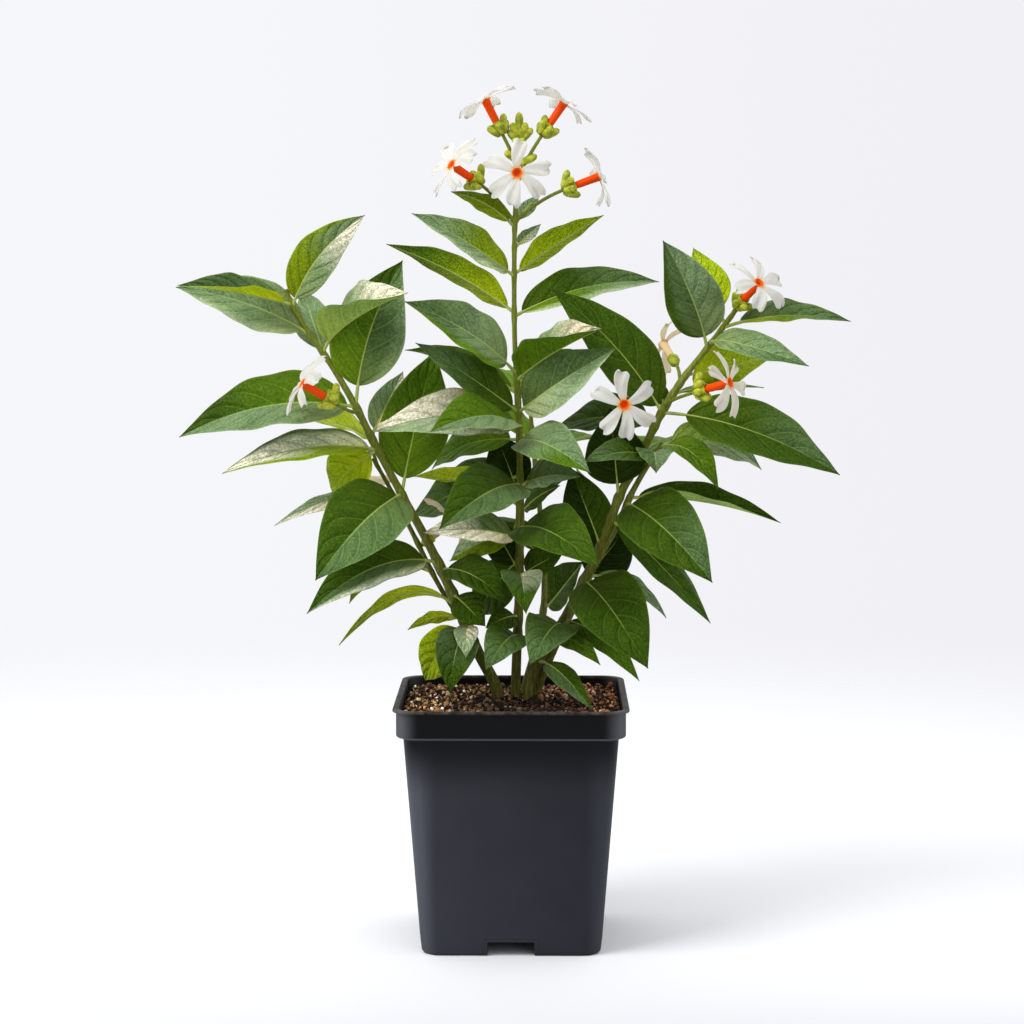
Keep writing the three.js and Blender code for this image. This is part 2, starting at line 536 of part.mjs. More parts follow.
// The green parts that carry a bloom: a curved stalk, the cup with a socket for the tube, and buds round it.
function makeStalk(bloom) {
  const frame = bloomFrame(bloom);
  const base = frame.foot.clone().addScaledVector(frame.out, -CALYX_LENGTH);
  const root = onStem(bloom.stem, bloom.at);
  const knee = base.clone().addScaledVector(frame.out, -0.45 * base.distanceTo(root));
  const inCup = base.clone().add(frame.out);
  const run = new THREE.QuadraticBezierCurve3(root, knee, inCup).getPoints(STALK_STEPS);
  const stalk = rod(run, run.map(() => STALK_RADIUS), BUD_SIDES);
  const cup = turned(frame, CUP_RINGS);
  const bore = TUBE_RADIUS + SEAT_GAP;
  const socket = turned(frame, [[-SOCKET_DEPTH, bore], [SOCKET_DEPTH, bore]]);
  const buds = Array.from({ length: bloom.buds }, (_, i) => {
    const turn = rad(BUD_TURN + (i * BUD_SPREAD) / Math.max(bloom.buds - 1, 1));
    const side = frame.right.clone().multiplyScalar(Math.cos(turn)).addScaledVector(frame.up, Math.sin(turn));
    const foot = base.clone().addScaledVector(side, 2);
    return makeBud(foot, side.add(frame.out).normalize(), BUD_LENGTH - i);
  });
  return [wasm.Manifold.union([stalk, cup]).subtract(socket), ...buds];
}

// The tube: it stands in the cup's socket and ends in a hollow mouth, the bloom's eye.
function makeTube(bloom) {
  return turned(bloomFrame(bloom), [
    [SEAT_GAP - SOCKET_DEPTH, TUBE_RADIUS],
    [TUBE_LENGTH, TUBE_RADIUS],
    [TUBE_LENGTH, TUBE_BORE],
    [TUBE_LENGTH - TUBE_MOUTH_DEPTH, TUBE_BORE_END],
  ]);
}

// One petal's outline from its claw out to its notched end and back: [distance from the tube, sideways].
const PETAL_OUTLINE = [
  [9, -3.6], [15, -6], [18.4, -4.6], [16.6, -0.6], [BLOOM_RADIUS, 4], [15.4, 6], [9, 3.6],
];
const PETAL_VALLEY = 4.2;

// The petals: one thin star round the tube, of six petals that are narrow at the claw and notched at the
// end. Each is pitched like a pinwheel's sail and curls back a little towards its end.
function makePetals(bloom) {
  const frame = bloomFrame(bloom);
  const outline = bloom.turns.flatMap((degrees, i) => {
    const turn = rad(degrees);
    const next = rad(bloom.turns[i + 1] ?? bloom.turns[0] + 360);
    const edge = PETAL_OUTLINE.map(([reach, side]) => {
      const point = new THREE.Vector2(reach, side).rotateAround(new THREE.Vector2(), turn);
      return Object.assign(point, { reach, side });
    });
    const valley = new THREE.Vector2(PETAL_VALLEY, 0).rotateAround(new THREE.Vector2(), (turn + next) / 2);
    return [...edge, Object.assign(valley, { reach: PETAL_VALLEY, side: 0 })];
  });
  const hole = Array.from({ length: TUBE_SIDES }, (_, i) => {
    const turn = (-2 * Math.PI * i) / TUBE_SIDES;
    const point = new THREE.Vector2(EYE_RADIUS, 0).rotateAround(new THREE.Vector2(), turn);
    return Object.assign(point, { reach: 0, side: 0 });
  });
  const rim = [...outline, ...hole];
  const lid = THREE.ShapeUtils.triangulateShape(outline, [hole]);
  const level = (thick) =>
    rim.map(({ x, y, reach, side }) => {
      const share = reach / BLOOM_RADIUS;
      const curl = PETAL_CUP * share * (1 - share * share);
      const height = PETAL_SEAT + thick + Math.tan(rad(PETAL_PITCH)) * side + curl;
      const onAxis = frame.foot.clone().addScaledVector(frame.out, height);
      return onAxis.addScaledVector(frame.right, x).addScaledVector(frame.up, y);
    });
  const walls = rim.flatMap((_, i) => {
    const inHole = i >= outline.length;
    const start = inHole ? outline.length : 0;
    const count = inHole ? hole.length : outline.length;
    const next = start + ((i - start + 1) % count);
    return [i, next, next + rim.length, i, next + rim.length, i + rim.length];
  });
  const back = lid.flatMap(([a, b, c]) => [c, b, a]);
  const front = lid.flatMap((corners) => corners.map((corner) => corner + rim.length));
  return solid([...level(-PETAL_THICK / 2), ...level(PETAL_THICK / 2)], [...back, ...front, ...walls]);
}

// The buds at the top of the middle stem, the tallest first: the way each leans and its foot's height.
const TOP_BUDS = [
  { at: 450, lean: [0, 0, 1], length: 15 },
  { at: 449, lean: [-0.36, -0.2, 0.92], length: 11 },
  { at: 449, lean: [0.38, -0.2, 0.92], length: 11 },
  { at: 448, lean: [0.68, -0.1, 0.72], length: 11 },
  { at: 448, lean: [-0.64, -0.1, 0.76], length: 9 },
  { at: 446, lean: [-0.3, -0.8, 0.6], length: 7 },
  { at: 446, lean: [0.4, -0.8, 0.5], length: 7 },
  { at: 446, lean: [0.1, 0.9, 0.5], length: 8 },
  { at: 436, lean: [0.95, -0.05, 0.45], length: 12 },
  { at: 438, lean: [-0.9, -0.1, 0.7], length: 9 },
];

// One leafy stem: its stems, leaves and flower stalks grown together.
function makePlant(stems) {
  const pieces = stems.flatMap((name) => {
    const { points, radii } = stemRun(name, STEM_STEPS);
    const stalks = Object.values(BLOOMS).filter((bloom) => bloom.stem === name).flatMap(makeStalk);
    const leaves = LEAVES[name].map((leaf) => makeLeaf(name, leaf));
    return [rod(points, radii, STEM_SIDES), ...leaves, ...stalks];
  });
  if (stems.includes("centre")) {
    pieces.push(
      ...TOP_BUDS.map(({ at, lean, length }) =>
        makeBud(onStem("centre", at), new THREE.Vector3(...lean).normalize(), length),
      ),
    );
  }
  const parts = wasm.Manifold.union(pieces).decompose();
  return parts.toSorted((a, b) => b.volume() - a.volume())[0];
}

const PLANTS = {
  centre_leafy_stem: ["centre"],
  left_leafy_stem: ["left", "left_shoot"],
  right_leafy_stem: ["right", "right_shoot"],
  back_leafy_stem: ["back"],
};

// A named mesh of a solid in its own colour.
function meshOf(name, body, color, roughness) {
  const made = body.getMesh();
  const geometry = new THREE.BufferGeometry();
  geometry.setAttribute("position", new THREE.BufferAttribute(new Float32Array(made.vertProperties), 3));
  geometry.setIndex(new THREE.BufferAttribute(new Uint32Array(made.triVerts), 1));
  const mesh = new THREE.Mesh(geometry, new THREE.MeshStandardMaterial({ color, roughness, metalness: 0 }));
  mesh.name = name;
  return mesh;
}

const group = new THREE.Group();
group.add(meshOf("pot", makePot(), 0x2b2d32, 0.5));
group.add(meshOf("potting_mix", makeSoil(), 0x8a5a2c, 0.95));
for (const [name, stems] of Object.entries(PLANTS)) {
  group.add(meshOf(name, makePlant(stems), 0x3f6b22, 0.5));
}
for (const [name, bloom] of Object.entries(BLOOMS)) {
  group.add(meshOf(`${name}_petals`, makePetals(bloom), 0xf4f1ec, 0.6));
  group.add(meshOf(`${name}_tube`, makeTube(bloom), 0xe2521a, 0.5));
}

export default group;
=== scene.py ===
import json

import bmesh
import bpy
import numpy as np
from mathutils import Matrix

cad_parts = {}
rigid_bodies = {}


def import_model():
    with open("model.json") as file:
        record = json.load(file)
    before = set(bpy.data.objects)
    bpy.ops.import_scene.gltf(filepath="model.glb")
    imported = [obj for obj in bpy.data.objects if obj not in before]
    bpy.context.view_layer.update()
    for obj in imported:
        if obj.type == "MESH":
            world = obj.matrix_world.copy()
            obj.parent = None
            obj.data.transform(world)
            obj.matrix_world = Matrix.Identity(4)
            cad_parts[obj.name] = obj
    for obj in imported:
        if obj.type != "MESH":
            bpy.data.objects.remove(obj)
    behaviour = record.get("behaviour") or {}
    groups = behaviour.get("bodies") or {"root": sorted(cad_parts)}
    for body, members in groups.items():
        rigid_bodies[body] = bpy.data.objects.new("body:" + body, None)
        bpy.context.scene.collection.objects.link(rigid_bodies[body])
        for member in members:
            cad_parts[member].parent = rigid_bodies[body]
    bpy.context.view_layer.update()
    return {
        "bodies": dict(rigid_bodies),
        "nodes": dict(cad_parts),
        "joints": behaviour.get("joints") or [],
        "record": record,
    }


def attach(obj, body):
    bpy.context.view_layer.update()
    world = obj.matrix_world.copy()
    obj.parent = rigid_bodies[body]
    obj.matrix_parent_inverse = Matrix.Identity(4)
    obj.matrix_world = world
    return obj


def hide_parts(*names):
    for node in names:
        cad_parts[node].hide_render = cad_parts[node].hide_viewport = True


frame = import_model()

# The pot: a square nursery pot, moulded in one thin piece of charcoal polypropylene. A collar stiffens its
# top, a thin lip runs round the collar, and a low recess opens under the middle of each side. It stands on
# the floor and carries everything else. Sizes are in millimetres, and a half is half the width of a square.
MM = 0.001
POT_HEIGHT = 139
LIP_HALF = 65
LIP_HEIGHT = 1.8
COLLAR_HALF = 63
LEDGE = 123
BODY_TOP_HALF = 59.5
BODY_BASE_HALF = 50
WALL = 1.6
CORNER_RADIUS = 11
RECESS_HALF = 13
RECESS_HIGH = 8
RECESS_REACH = 30
FRAME_HALF = 15.2
FRAME_TOP = 10.4
FOOT_ROUND = 2.4
LEDGE_FILLET = 1
COLLAR_ROUND = 1.6
LIP_FILLET = 0.6
LIP_ROUND = 0.9
MOUTH_ROUND = 0.8
CORNER_LOOP = 1.5
MERGE_DISTANCE = 0.0001


def arc(half, z, radius, start, end, steps=5):
    """Points on an edge rounded about (half, z): half + r cos a and z + r sin a, with a in degrees."""
    turn = np.radians(np.linspace(start, end, steps))
    return np.stack([half + radius * np.cos(turn), z + radius * np.sin(turn)], axis=1)


def square_rings(profile, recess_rows):
    """Rings round a square with rounded corners, one for each (half, z) of a profile: on a corner a point
    lies at half - r + r(sin a, cos a), and on a side it slides along at the distance half. A column just
    inside each corner keeps the flats flat. On the first recess_rows rings, the two inner columns of each
    side's recess stand back to its inner end."""
    half, z = profile[:, :1], profile[:, 1:]
    grown = np.maximum(half - COLLAR_HALF, 0) - np.maximum(BODY_BASE_HALF - half, 0)
    radius = np.maximum(CORNER_RADIUS + grown, 0.5)
    turn = np.radians([0] * 8 + list(range(9, 90, 9)))
    share = np.array([-1] * 2 + [0] * 4 + [1] * 11)
    jamb = [-RECESS_HALF] * 2 + [RECESS_HALF] * 2
    fixed = np.array([0, CORNER_LOOP, *jamb, -CORNER_LOOP, 0] + [0] * 9)
    in_recess = np.isin(np.arange(len(turn)), (3, 4))
    recessed = in_recess & (np.arange(len(half)) < recess_rows)[:, None]
    along = share * (half - radius) + fixed + radius * np.sin(turn)
    outward = np.where(recessed, BODY_BASE_HALF - RECESS_REACH, half - radius + radius * np.cos(turn))
    front = np.stack([along, -outward, z + 0 * along], axis=-1)
    right = front[..., [1, 0, 2]] * (-1, 1, 1)
    return np.concatenate([front, right, front * (-1, -1, 1), right * (-1, -1, 1)], axis=1)


def with_poles(rings):
    """Closes a grid at both ends: its first and last rings are repeated, shrunk to their middles."""
    first = np.broadcast_to(rings[0].mean(axis=0), rings[0].shape)
    last = np.broadcast_to(rings[-1].mean(axis=0), rings[-1].shape)
    return np.concatenate([first[None], rings, last[None]])


def grid_faces(rows, columns):
    """Faces that join each point of a grid to the next in its ring and to the next ring. Rings close."""
    row, column = np.meshgrid(np.arange(rows - 1), np.arange(columns), indexing="ij")
    after = (column + 1) % columns
    here, there = row * columns, (row + 1) * columns
    return np.stack([here + column, here + after, there + after, there + column], axis=-1).reshape(-1, 4)


def make_piece(name, grids, finish, replaced, maps=(), tones=(), crease=40):
    """One mesh of closed grids of points (ring, column, xyz in millimetres), each with its map (ring,
    column, uv) and its tones (ring, column, rgba). Poles are merged, and edges sharper than crease, in
    degrees, stay sharp."""
    starts = np.cumsum([0] + [grid.shape[0] * grid.shape[1] for grid in grids])
    faces = np.concatenate([grid_faces(*grid.shape[:2]) + start for grid, start in zip(grids, starts)])
    mesh = bpy.data.meshes.new(name)
    mesh.from_pydata(np.concatenate([grid.reshape(-1, 3) for grid in grids]) * MM, [], faces.tolist())
    if len(tones):
        paint = mesh.color_attributes.new("tone", "FLOAT_COLOR", "POINT")
        paint.data.foreach_set("color", np.concatenate([tone.reshape(-1, 4) for tone in tones]).ravel())
    if len(maps):
        corner = np.empty(len(mesh.loops), dtype=np.int32)
        mesh.loops.foreach_get("vertex_index", corner)
        places = np.concatenate([place.reshape(-1, 2) for place in maps])[corner]
        mesh.uv_layers.new(name="UVMap").uv.foreach_set("vector", places.ravel())
    work = bmesh.new()
    work.from_mesh(mesh)
    bmesh.ops.remove_doubles(work, verts=work.verts, dist=MERGE_DISTANCE * MM)
    bmesh.ops.recalc_face_normals(work, faces=work.faces)
    work.to_mesh(mesh)
    work.free()
    mesh.shade_smooth()
    mesh.set_sharp_from_angle(angle=np.radians(crease))
    mesh.materials.append(finish)
    piece = bpy.data.objects.new(name, mesh)
    bpy.context.scene.collection.objects.link(piece)
    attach(piece, "root")
    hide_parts(*replaced)


class Wire:
    """A socket of a material. Arithmetic on it adds Math nodes, and node() adds a node of any other type."""

    def __init__(self, socket):
        self.socket = socket

    @classmethod
    def node(cls, tree, kind, settings=None, sockets=None, output=0):
        """A node of a type, its settings set first, then the values or links of its sockets."""
        made = tree.nodes.new("ShaderNode" + kind)
        for key, value in (settings or {}).items():
            setattr(made, key, value)
        for key, value in (sockets or {}).items():
            if isinstance(value, cls):
                tree.links.new(value.socket, made.inputs[key])
            else:
                made.inputs[key].default_value = value
        return cls(made.outputs[output])

    def math(self, operation, *others):
        """A Math node on this value and others."""
        sockets = dict(enumerate([self, *others]))
        return Wire.node(self.socket.id_data, "Math", {"operation": operation}, sockets)

    def __add__(self, other):
        return self.math("ADD", other)

    __radd__ = __add__

    def __mul__(self, other):
        return self.math("MULTIPLY", other)

    __rmul__ = __mul__

    def __sub__(self, other):
        return self.math("SUBTRACT", other)

    def __rsub__(self, other):
        return (self * -1) + other

    def __abs__(self):
        return self.math("ABSOLUTE")

    def between(self, low, high):
        """0 up to low and 1 from high, with a smooth step between them."""
        sockets = {"Value": self, "From Min": low, "From Max": high}
        return Wire.node(self.socket.id_data, "MapRange", {"interpolation_type": "SMOOTHSTEP"}, sockets)

    def mix(self, first, second):
        """first where this is 0 and second where it is 1, colours both."""
        colours = [value if isinstance(value, Wire) else (*value, 1) for value in (first, second)]
        sockets = {0: self, 6: colours[0], 7: colours[1]}
        return Wire.node(self.socket.id_data, "Mix", {"data_type": "RGBA"}, sockets, output=2)

    def split(self):
        """The three parts of a vector."""
        tree = self.socket.id_data
        return [Wire.node(tree, "SeparateXYZ", {}, {0: self}, output=part) for part in range(3)]

    def scaled(self, factors):
        """A vector or colour with each of its parts times a factor."""
        return Wire.node(self.socket.id_data, "VectorMath", {"operation": "MULTIPLY"}, {0: self, 1: factors})


def new_finish(name):
    """An empty material and its tree."""
    finish = bpy.data.materials.new(name)
    finish.use_nodes = True
    finish.node_tree.nodes.clear()
    return finish, finish.node_tree


def noise(tree, where, scale, detail, roughness=0.5):
    """Soft noise from 0 to 1 at a scale, in lumps to the metre, with finer octaves to a detail."""
    sockets = {"Vector": where, "Scale": scale, "Detail": detail, "Roughness": roughness}
    return Wire.node(tree, "TexNoise", {}, sockets)


def object_place(tree):
    """The place of a shaded point in the shared frame, in metres."""
    return Wire.node(tree, "TexCoord", output="Object")


def finish_with(tree, colour, roughness, height=None, depth=0.0, **constant):
    """Ends a material: a Principled shader with bumps up to depth, in metres, and other sockets by name."""
    sockets = {"Base Color": colour, "Roughness": roughness}
    if height is not None:
        bump = {"Height": height, "Distance": depth, "Strength": 1.0}
        sockets["Normal"] = Wire.node(tree, "Bump", {}, bump)
    sockets |= {key.replace("_", " "): value for key, value in constant.items()}
    shader = Wire.node(tree, "BsdfPrincipled", {}, sockets)
    end = tree.nodes.new("ShaderNodeOutputMaterial")
    tree.links.new(shader.socket, end.inputs["Surface"])
    return shader


# Charcoal with a random mottle, lighter towards the left as painted light from the lamp on that side, with
# painted highlights on the corners, on the collar's ends and along the ledge, painted shade near black under
# the ledge and on the collar, and earthy on the lip. A fine line frames each recess.
finish, tree = new_finish("charcoal_polypropylene")
where = object_place(tree)
x, y, z = where.split()
mottle = noise(tree, where, 40, 3)
grain = noise(tree, where, 1800, 2)
scuff = noise(tree, where, 220, 5, 0.7)
side = abs(x).math("MINIMUM", abs(y))
past_jamb = side - FRAME_HALF * MM
past_roof = z - FRAME_TOP * MM
frame_line = abs(past_jamb.math("MAXIMUM", past_roof)).between(0.0007, 0.0002)
lip = z.between((POT_HEIGHT - 2.2) * MM, (POT_HEIGHT - 0.6) * MM)
collar = z.between((LEDGE - 1.5) * MM, (LEDGE + 0.5) * MM)
ledge_shadow = z.between((LEDGE - 35) * MM, (LEDGE - 2) * MM)
corner = side.between((BODY_BASE_HALF - 10) * MM, BODY_BASE_HALF * MM)
collar_end_highlight = side.between(BODY_BASE_HALF * MM, (COLLAR_HALF - 1) * MM)
ledge = abs(z - (LEDGE + 0.2) * MM).between(0.0011, 0.0004)
# Lighter towards the left: painted light from the lamp on that side.
painted_left_light = x.between(0.06, -0.06)
colour = (mottle * 0.4 + painted_left_light * 0.6).mix((0.012, 0.0135, 0.019), (0.032, 0.034, 0.042))
# Painted highlights on the body's corners, stronger on the left.
colour = (corner * (painted_left_light * 0.45 + 0.22)).mix(colour, (0.072, 0.077, 0.094))
# Painted shadow of the ledge on the top of the body.
colour = (ledge_shadow * 0.95).mix(colour, (0.002, 0.0025, 0.004))
# Painted shade on the collar.
colour = (collar * 0.95).mix(colour, (0.002, 0.0022, 0.003))
# Painted highlights on the collar's ends.
colour = (collar * collar_end_highlight * 0.8).mix(colour, (0.098, 0.101, 0.112))
colour = (lip * scuff.between(0.3, 0.75)).mix(colour, (0.072, 0.057, 0.044))
# A painted highlight along the ledge.
colour = (ledge * 0.8).mix(colour, (0.085, 0.090, 0.100))
height = grain * 0.12 + frame_line
roughness = mottle * 0.12 + 0.45 + lip * 0.15
finish_with(tree, colour, roughness, height, 0.0003, Specular_IOR_Level=0.11)

body_half = BODY_BASE_HALF + (BODY_TOP_HALF - BODY_BASE_HALF) * RECESS_HIGH / LEDGE
outside = [
    [[BODY_BASE_HALF - RECESS_REACH, 0]],
    arc(BODY_BASE_HALF - FOOT_ROUND, FOOT_ROUND, FOOT_ROUND, -90, 0),
    [[body_half, RECESS_HIGH], [body_half, RECESS_HIGH], [BODY_TOP_HALF - 0.3, LEDGE - 1.5]],
    arc(BODY_TOP_HALF + LEDGE_FILLET, LEDGE - LEDGE_FILLET - 0.1, LEDGE_FILLET, 180, 90, 4),
    arc(COLLAR_HALF - COLLAR_ROUND, LEDGE + COLLAR_ROUND, COLLAR_ROUND, -90, 0),
    arc(COLLAR_HALF + LIP_FILLET, POT_HEIGHT - LIP_HEIGHT - LIP_FILLET, LIP_FILLET, 180, 90, 3),
    arc(LIP_HALF - LIP_ROUND, POT_HEIGHT - LIP_ROUND, LIP_ROUND, -80, 90, 8),
]
inside = [
    arc(COLLAR_HALF - WALL + MOUTH_ROUND, POT_HEIGHT - MOUTH_ROUND, MOUTH_ROUND, 90, 180),
    [[COLLAR_HALF - WALL, LEDGE + WALL], [BODY_TOP_HALF - WALL, LEDGE]],
    [[BODY_BASE_HALF - WALL, RECESS_HIGH + WALL]],
]
profile = np.concatenate([np.array(stretch, dtype=float) for stretch in outside + inside])
# The recess cuts the middle ring of the base, the five of the foot and the lower one at its own roof.
rings = with_poles(square_rings(profile, recess_rows=7))
make_piece("nursery_pot", [rings], finish, ["pot"], crease=35)

# The potting mix: bark crumbs and fired clay, golden to rusty brown, heaped a little round the stems and
# darker in a patch in front of them. It fills the pot to just under its lip.
SOIL_LEVEL = 133
SOIL_MOUND = 2.2
SOIL_RIPPLE = 0.45
SOIL_HALF = 60.9
SQUARENESS = 12
# The rings of the mix's sides, each (half, z).
BED_WALLS = [(47.5, 11), (57, 122.5), (SOIL_HALF, 125.5)]
BED_RINGS = 44
BED_COLUMNS = 160
DARK_PATCH_MIDDLE = (6, -34)
DARK_PATCH_REACH = (38, 40)
CRUMBS = 6300
CRUMB_MARGIN = 1.2
CRUMB_SIZE = 0.68
CRUMB_RINGS = [(0.72, -0.62), (1, 0), (0.72, 0.62)]
CRUMB_COLUMNS = 5
CRUMB_POLE = 0.95
CRUMB_TINTS = np.array([
    [0.48, 0.27, 0.11],
    [0.22, 0.095, 0.035],
    [0.07, 0.030, 0.013],
    [0.006, 0.003, 0.002],
    [0.90, 0.74, 0.52],
])
CRUMB_SHARES = [0.22, 0.18, 0.22, 0.31, 0.07]
rng = np.random.default_rng(11)


def soil_height(x, y):
    """The mix's level: a mound that falls with the square of the way to the wall, and crossing ripples."""
    share = np.maximum(abs(x), abs(y)) / SOIL_HALF
    ripples = np.sin(x * 0.83 + y * 0.31) + np.sin(y * 0.71 - x * 0.43 + 2)
    return SOIL_LEVEL + SOIL_MOUND * (1 - share**2) + SOIL_RIPPLE * ripples


def patch_darkness(x, y):
    """How dark the mix is: 1 in the middle of a patch, falling off as exp(-a^4 - b^4), where a and b
    are the ways from there across and back, as shares of the patch's reach."""
    across = (x - DARK_PATCH_MIDDLE[0]) / DARK_PATCH_REACH[0]
    back = (y - DARK_PATCH_MIDDLE[1]) / DARK_PATCH_REACH[1]
    return np.exp(-(across**4) - back**4)


def square_norm(across):
    """How far out points lie as a square with softened corners measures it: the 12th root of x^12 + y^12."""
    return (abs(across) ** SQUARENESS).sum(axis=-1, keepdims=True) ** (1 / SQUARENESS)


def soil_bed():
    """The bulk of the mix: walls that follow the pot inside, and a rough top of rings that shrink inwards. A
    ring is a circle, each point divided by its square_norm."""
    turn = np.linspace(0, 2 * np.pi, BED_COLUMNS, endpoint=False)
    circle = np.stack([np.cos(turn), np.sin(turn)], axis=-1)
    square = circle / square_norm(circle)
    sides = [np.column_stack([square * half, np.full(len(square), z)]) for half, z in BED_WALLS]
    shares = np.linspace(1, 0.03, BED_RINGS)[:, None, None]
    flat = square * SOIL_HALF * shares
    rough = rng.normal(0, 0.3, flat.shape[:2])
    top = np.dstack([flat, soil_height(flat[..., 0], flat[..., 1]) + rough - 0.5])
    return with_poles(np.concatenate([np.array(sides), top]))


def crumb_grids():
    """Crumbs and their places: balls of a few rings, each point pushed in or out, squashed and turned. They
    are scattered evenly over the square, and sink into the bed or lie on it."""
    turn = np.linspace(0, 2 * np.pi, CRUMB_COLUMNS, endpoint=False)
    radius, height = np.array(CRUMB_RINGS).T[..., None]
    ball = with_poles(np.stack([radius * np.cos(turn), radius * np.sin(turn), height + 0 * turn], axis=-1))
    ball[0, :, 2] = -CRUMB_POLE
    ball[-1, :, 2] = CRUMB_POLE
    inner = SOIL_HALF - CRUMB_MARGIN
    place = rng.uniform(-1, 1, (CRUMBS, 2)) * inner
    place = place[square_norm(place)[:, 0] < inner]
    size = rng.lognormal(np.log(CRUMB_SIZE), 0.45, len(place)).clip(0.32, 2.2)
    stretch = size[:, None] * rng.uniform(0.7, 1.15, (len(place), 3))
    axes = np.linalg.qr(rng.normal(size=(len(place), 3, 3)))[0]
    lumpy = ball * rng.uniform(0.8, 1.15, (len(place), *ball.shape[:2], 1))
    lumpy[:, 0] = lumpy[:, :1, 0]
    lumpy[:, -1] = lumpy[:, -1:, 0]
    turned = np.einsum("nrck,nkj->nrcj", lumpy * stretch[:, None, None], axes)
    level = soil_height(place[:, 0], place[:, 1]) + rng.uniform(-0.3, 0.75, len(place)) * size
    return turned + np.column_stack([place, level])[:, None, None], place


def crumb_tones(place, shape):
    """One colour for each crumb: drawn from the tints, redder to the right, of a random brightness, and
    darkened in the dark patch there."""
    tint = CRUMB_TINTS[rng.choice(len(CRUMB_TINTS), len(place), p=CRUMB_SHARES)]
    # Crumbs in a patch in front of the stems are darker.
    darkening = patch_darkness(place[:, 0], place[:, 1])[:, None] * rng.uniform(0.85, 1, (len(place), 1))
    redness = 0.5 + 0.5 * np.tanh(place[:, :1] / 20)
    tint = tint * (1 - redness * np.array([0.1, 0.3, 0.25]))
    tint = tint * rng.uniform(0.5, 1.9, (len(place), 1)) * (1 - 0.97 * darkening)
    tone = np.column_stack([tint, np.ones(len(place))])
    return np.broadcast_to(tone[:, None, None], (*shape, 4))


finish, tree = new_finish("bark_and_clay_crumbs")
where = object_place(tree)
tint = Wire.node(tree, "Attribute", {"attribute_name": "tone"}, output="Color")
speck = noise(tree, where, 1500, 3, 0.7)
colour = speck.between(0.3, 0.75).mix(tint, (0.5, 0.36, 0.22))
colour = (speck * 0.04).mix(tint, colour)
finish_with(tree, colour, speck * 0.3 + 0.6, speck, 0.0004, Specular_IOR_Level=0.12)

bed = soil_bed()
# The bed is darker in the same patch.
bed_darkness = patch_darkness(bed[..., :1], bed[..., 1:2])
bed_tone = np.concatenate([(0.010, 0.0045, 0.0025) * (1 - 0.8 * bed_darkness), np.ones_like(bed_darkness)], axis=-1)
node = "potting_mix"
make_piece("soil_bed", [bed], finish, [node], tones=[bed_tone], crease=60)
crumbs, crumb_places = crumb_grids()
tones = crumb_tones(crumb_places, crumbs.shape[:3])
make_piece("soil_crumbs", list(crumbs), finish, [node], tones=list(tones), crease=180)

# The stems: four shoots rooted in the mix, woody and brown at the foot and fresh green above, with ribs
# and a swelling at each pair of leaves. The left and the right one fork, and the flower stalks grow out of
# them. A place is (x, z, y): x and z are read on the front elevation, and y is how far behind it it lies.
EYE_DISTANCE = 1493
EYE_HEIGHT = 386
EYE_ACROSS = 16
RIB_DEPTH = 0.07
STEM_RIBS = 4
STEM_SIDES = 16
STEPS_A_KNOT = 16
SLIM = 0.86
SWELLING = 0.22
SWELLING_REACH = 2.6
STALK_STEPS = 18
STALK_SIDES = 8
STALK_RADII = (1.05, 0.95)
CALYX_LENGTH = 6
# Each stem is a list of knots (z, x, y, radius).
STEMS = {
    "centre": [
        (106, 1.5, 8, 2.9), (140, 2, 8, 3.1), (200, 4, 3, 2.6), (260, 4.5, 0, 2.0), (300, 3.5, 0, 1.8),
        (340, 1.5, 0, 1.5), (400, 1.5, 0, 1.4), (425, 2.5, 0, 1.3), (452, 4, 0, 1.2),
    ],
    "left": [
        (106, -7, 6, 3.4), (140, -8.5, 5, 3.7), (162, -19, 2, 3.4), (192, -32, -3, 3.1), (224, -47, -8, 2.7),
        (250, -61, -11, 2.4), (279, -76.5, -14, 2.2), (302, -88, -16, 2.1), (325, -101.5, -18, 1.8),
        (343, -114, -19, 1.6), (359, -123.5, -20, 1.4), (367, -126, -20, 1.2),
    ],
    "left_shoot": [
        (172, -23.5, 0, 1.4), (200, -41, 6, 1.5), (226, -54, 5, 1.5), (254, -68, 1, 1.3),
        (272, -78, -7, 1.1),
    ],
    "right": [
        (106, 7, 14, 3.8), (140, 13, 12, 4.0), (170, 25, 9, 3.7), (197, 38, 6, 3.4), (224, 51, 3, 3.0),
        (250, 60, 0, 2.7), (280, 75, -4, 2.4), (300, 85, -7, 2.3), (320, 98, -9, 1.9), (334, 109, -11, 1.7),
        (350, 121, -12, 1.4), (358, 127, -13, 1.2),
    ],
    "right_shoot": [
        (108, 7, 3, 2.3), (148, 11, 3, 2.5), (166, 20.5, 5, 2.5), (184, 31, 4, 2.4), (202, 41, 3, 2.3),
        (219, 50.5, 2, 2.1), (236, 60, 1, 1.9), (252, 67, 1, 1.8), (268, 76, -1, 1.6), (281, 85, -2, 1.4),
    ],
    "back": [
        (106, 6, 21, 2.3), (140, 7, 22, 2.4), (160, 12, 26, 2.2), (185, 17.5, 31, 2.0), (215, 18, 40, 1.8),
        (250, 15, 49, 1.6), (290, 11, 56, 1.4), (308, 10, 58, 1.2),
    ],
}
PLANTS = {
    "centre": ["centre"],
    "left": ["left", "left_shoot"],
    "right": ["right", "right_shoot"],
    "back": ["back"],
}
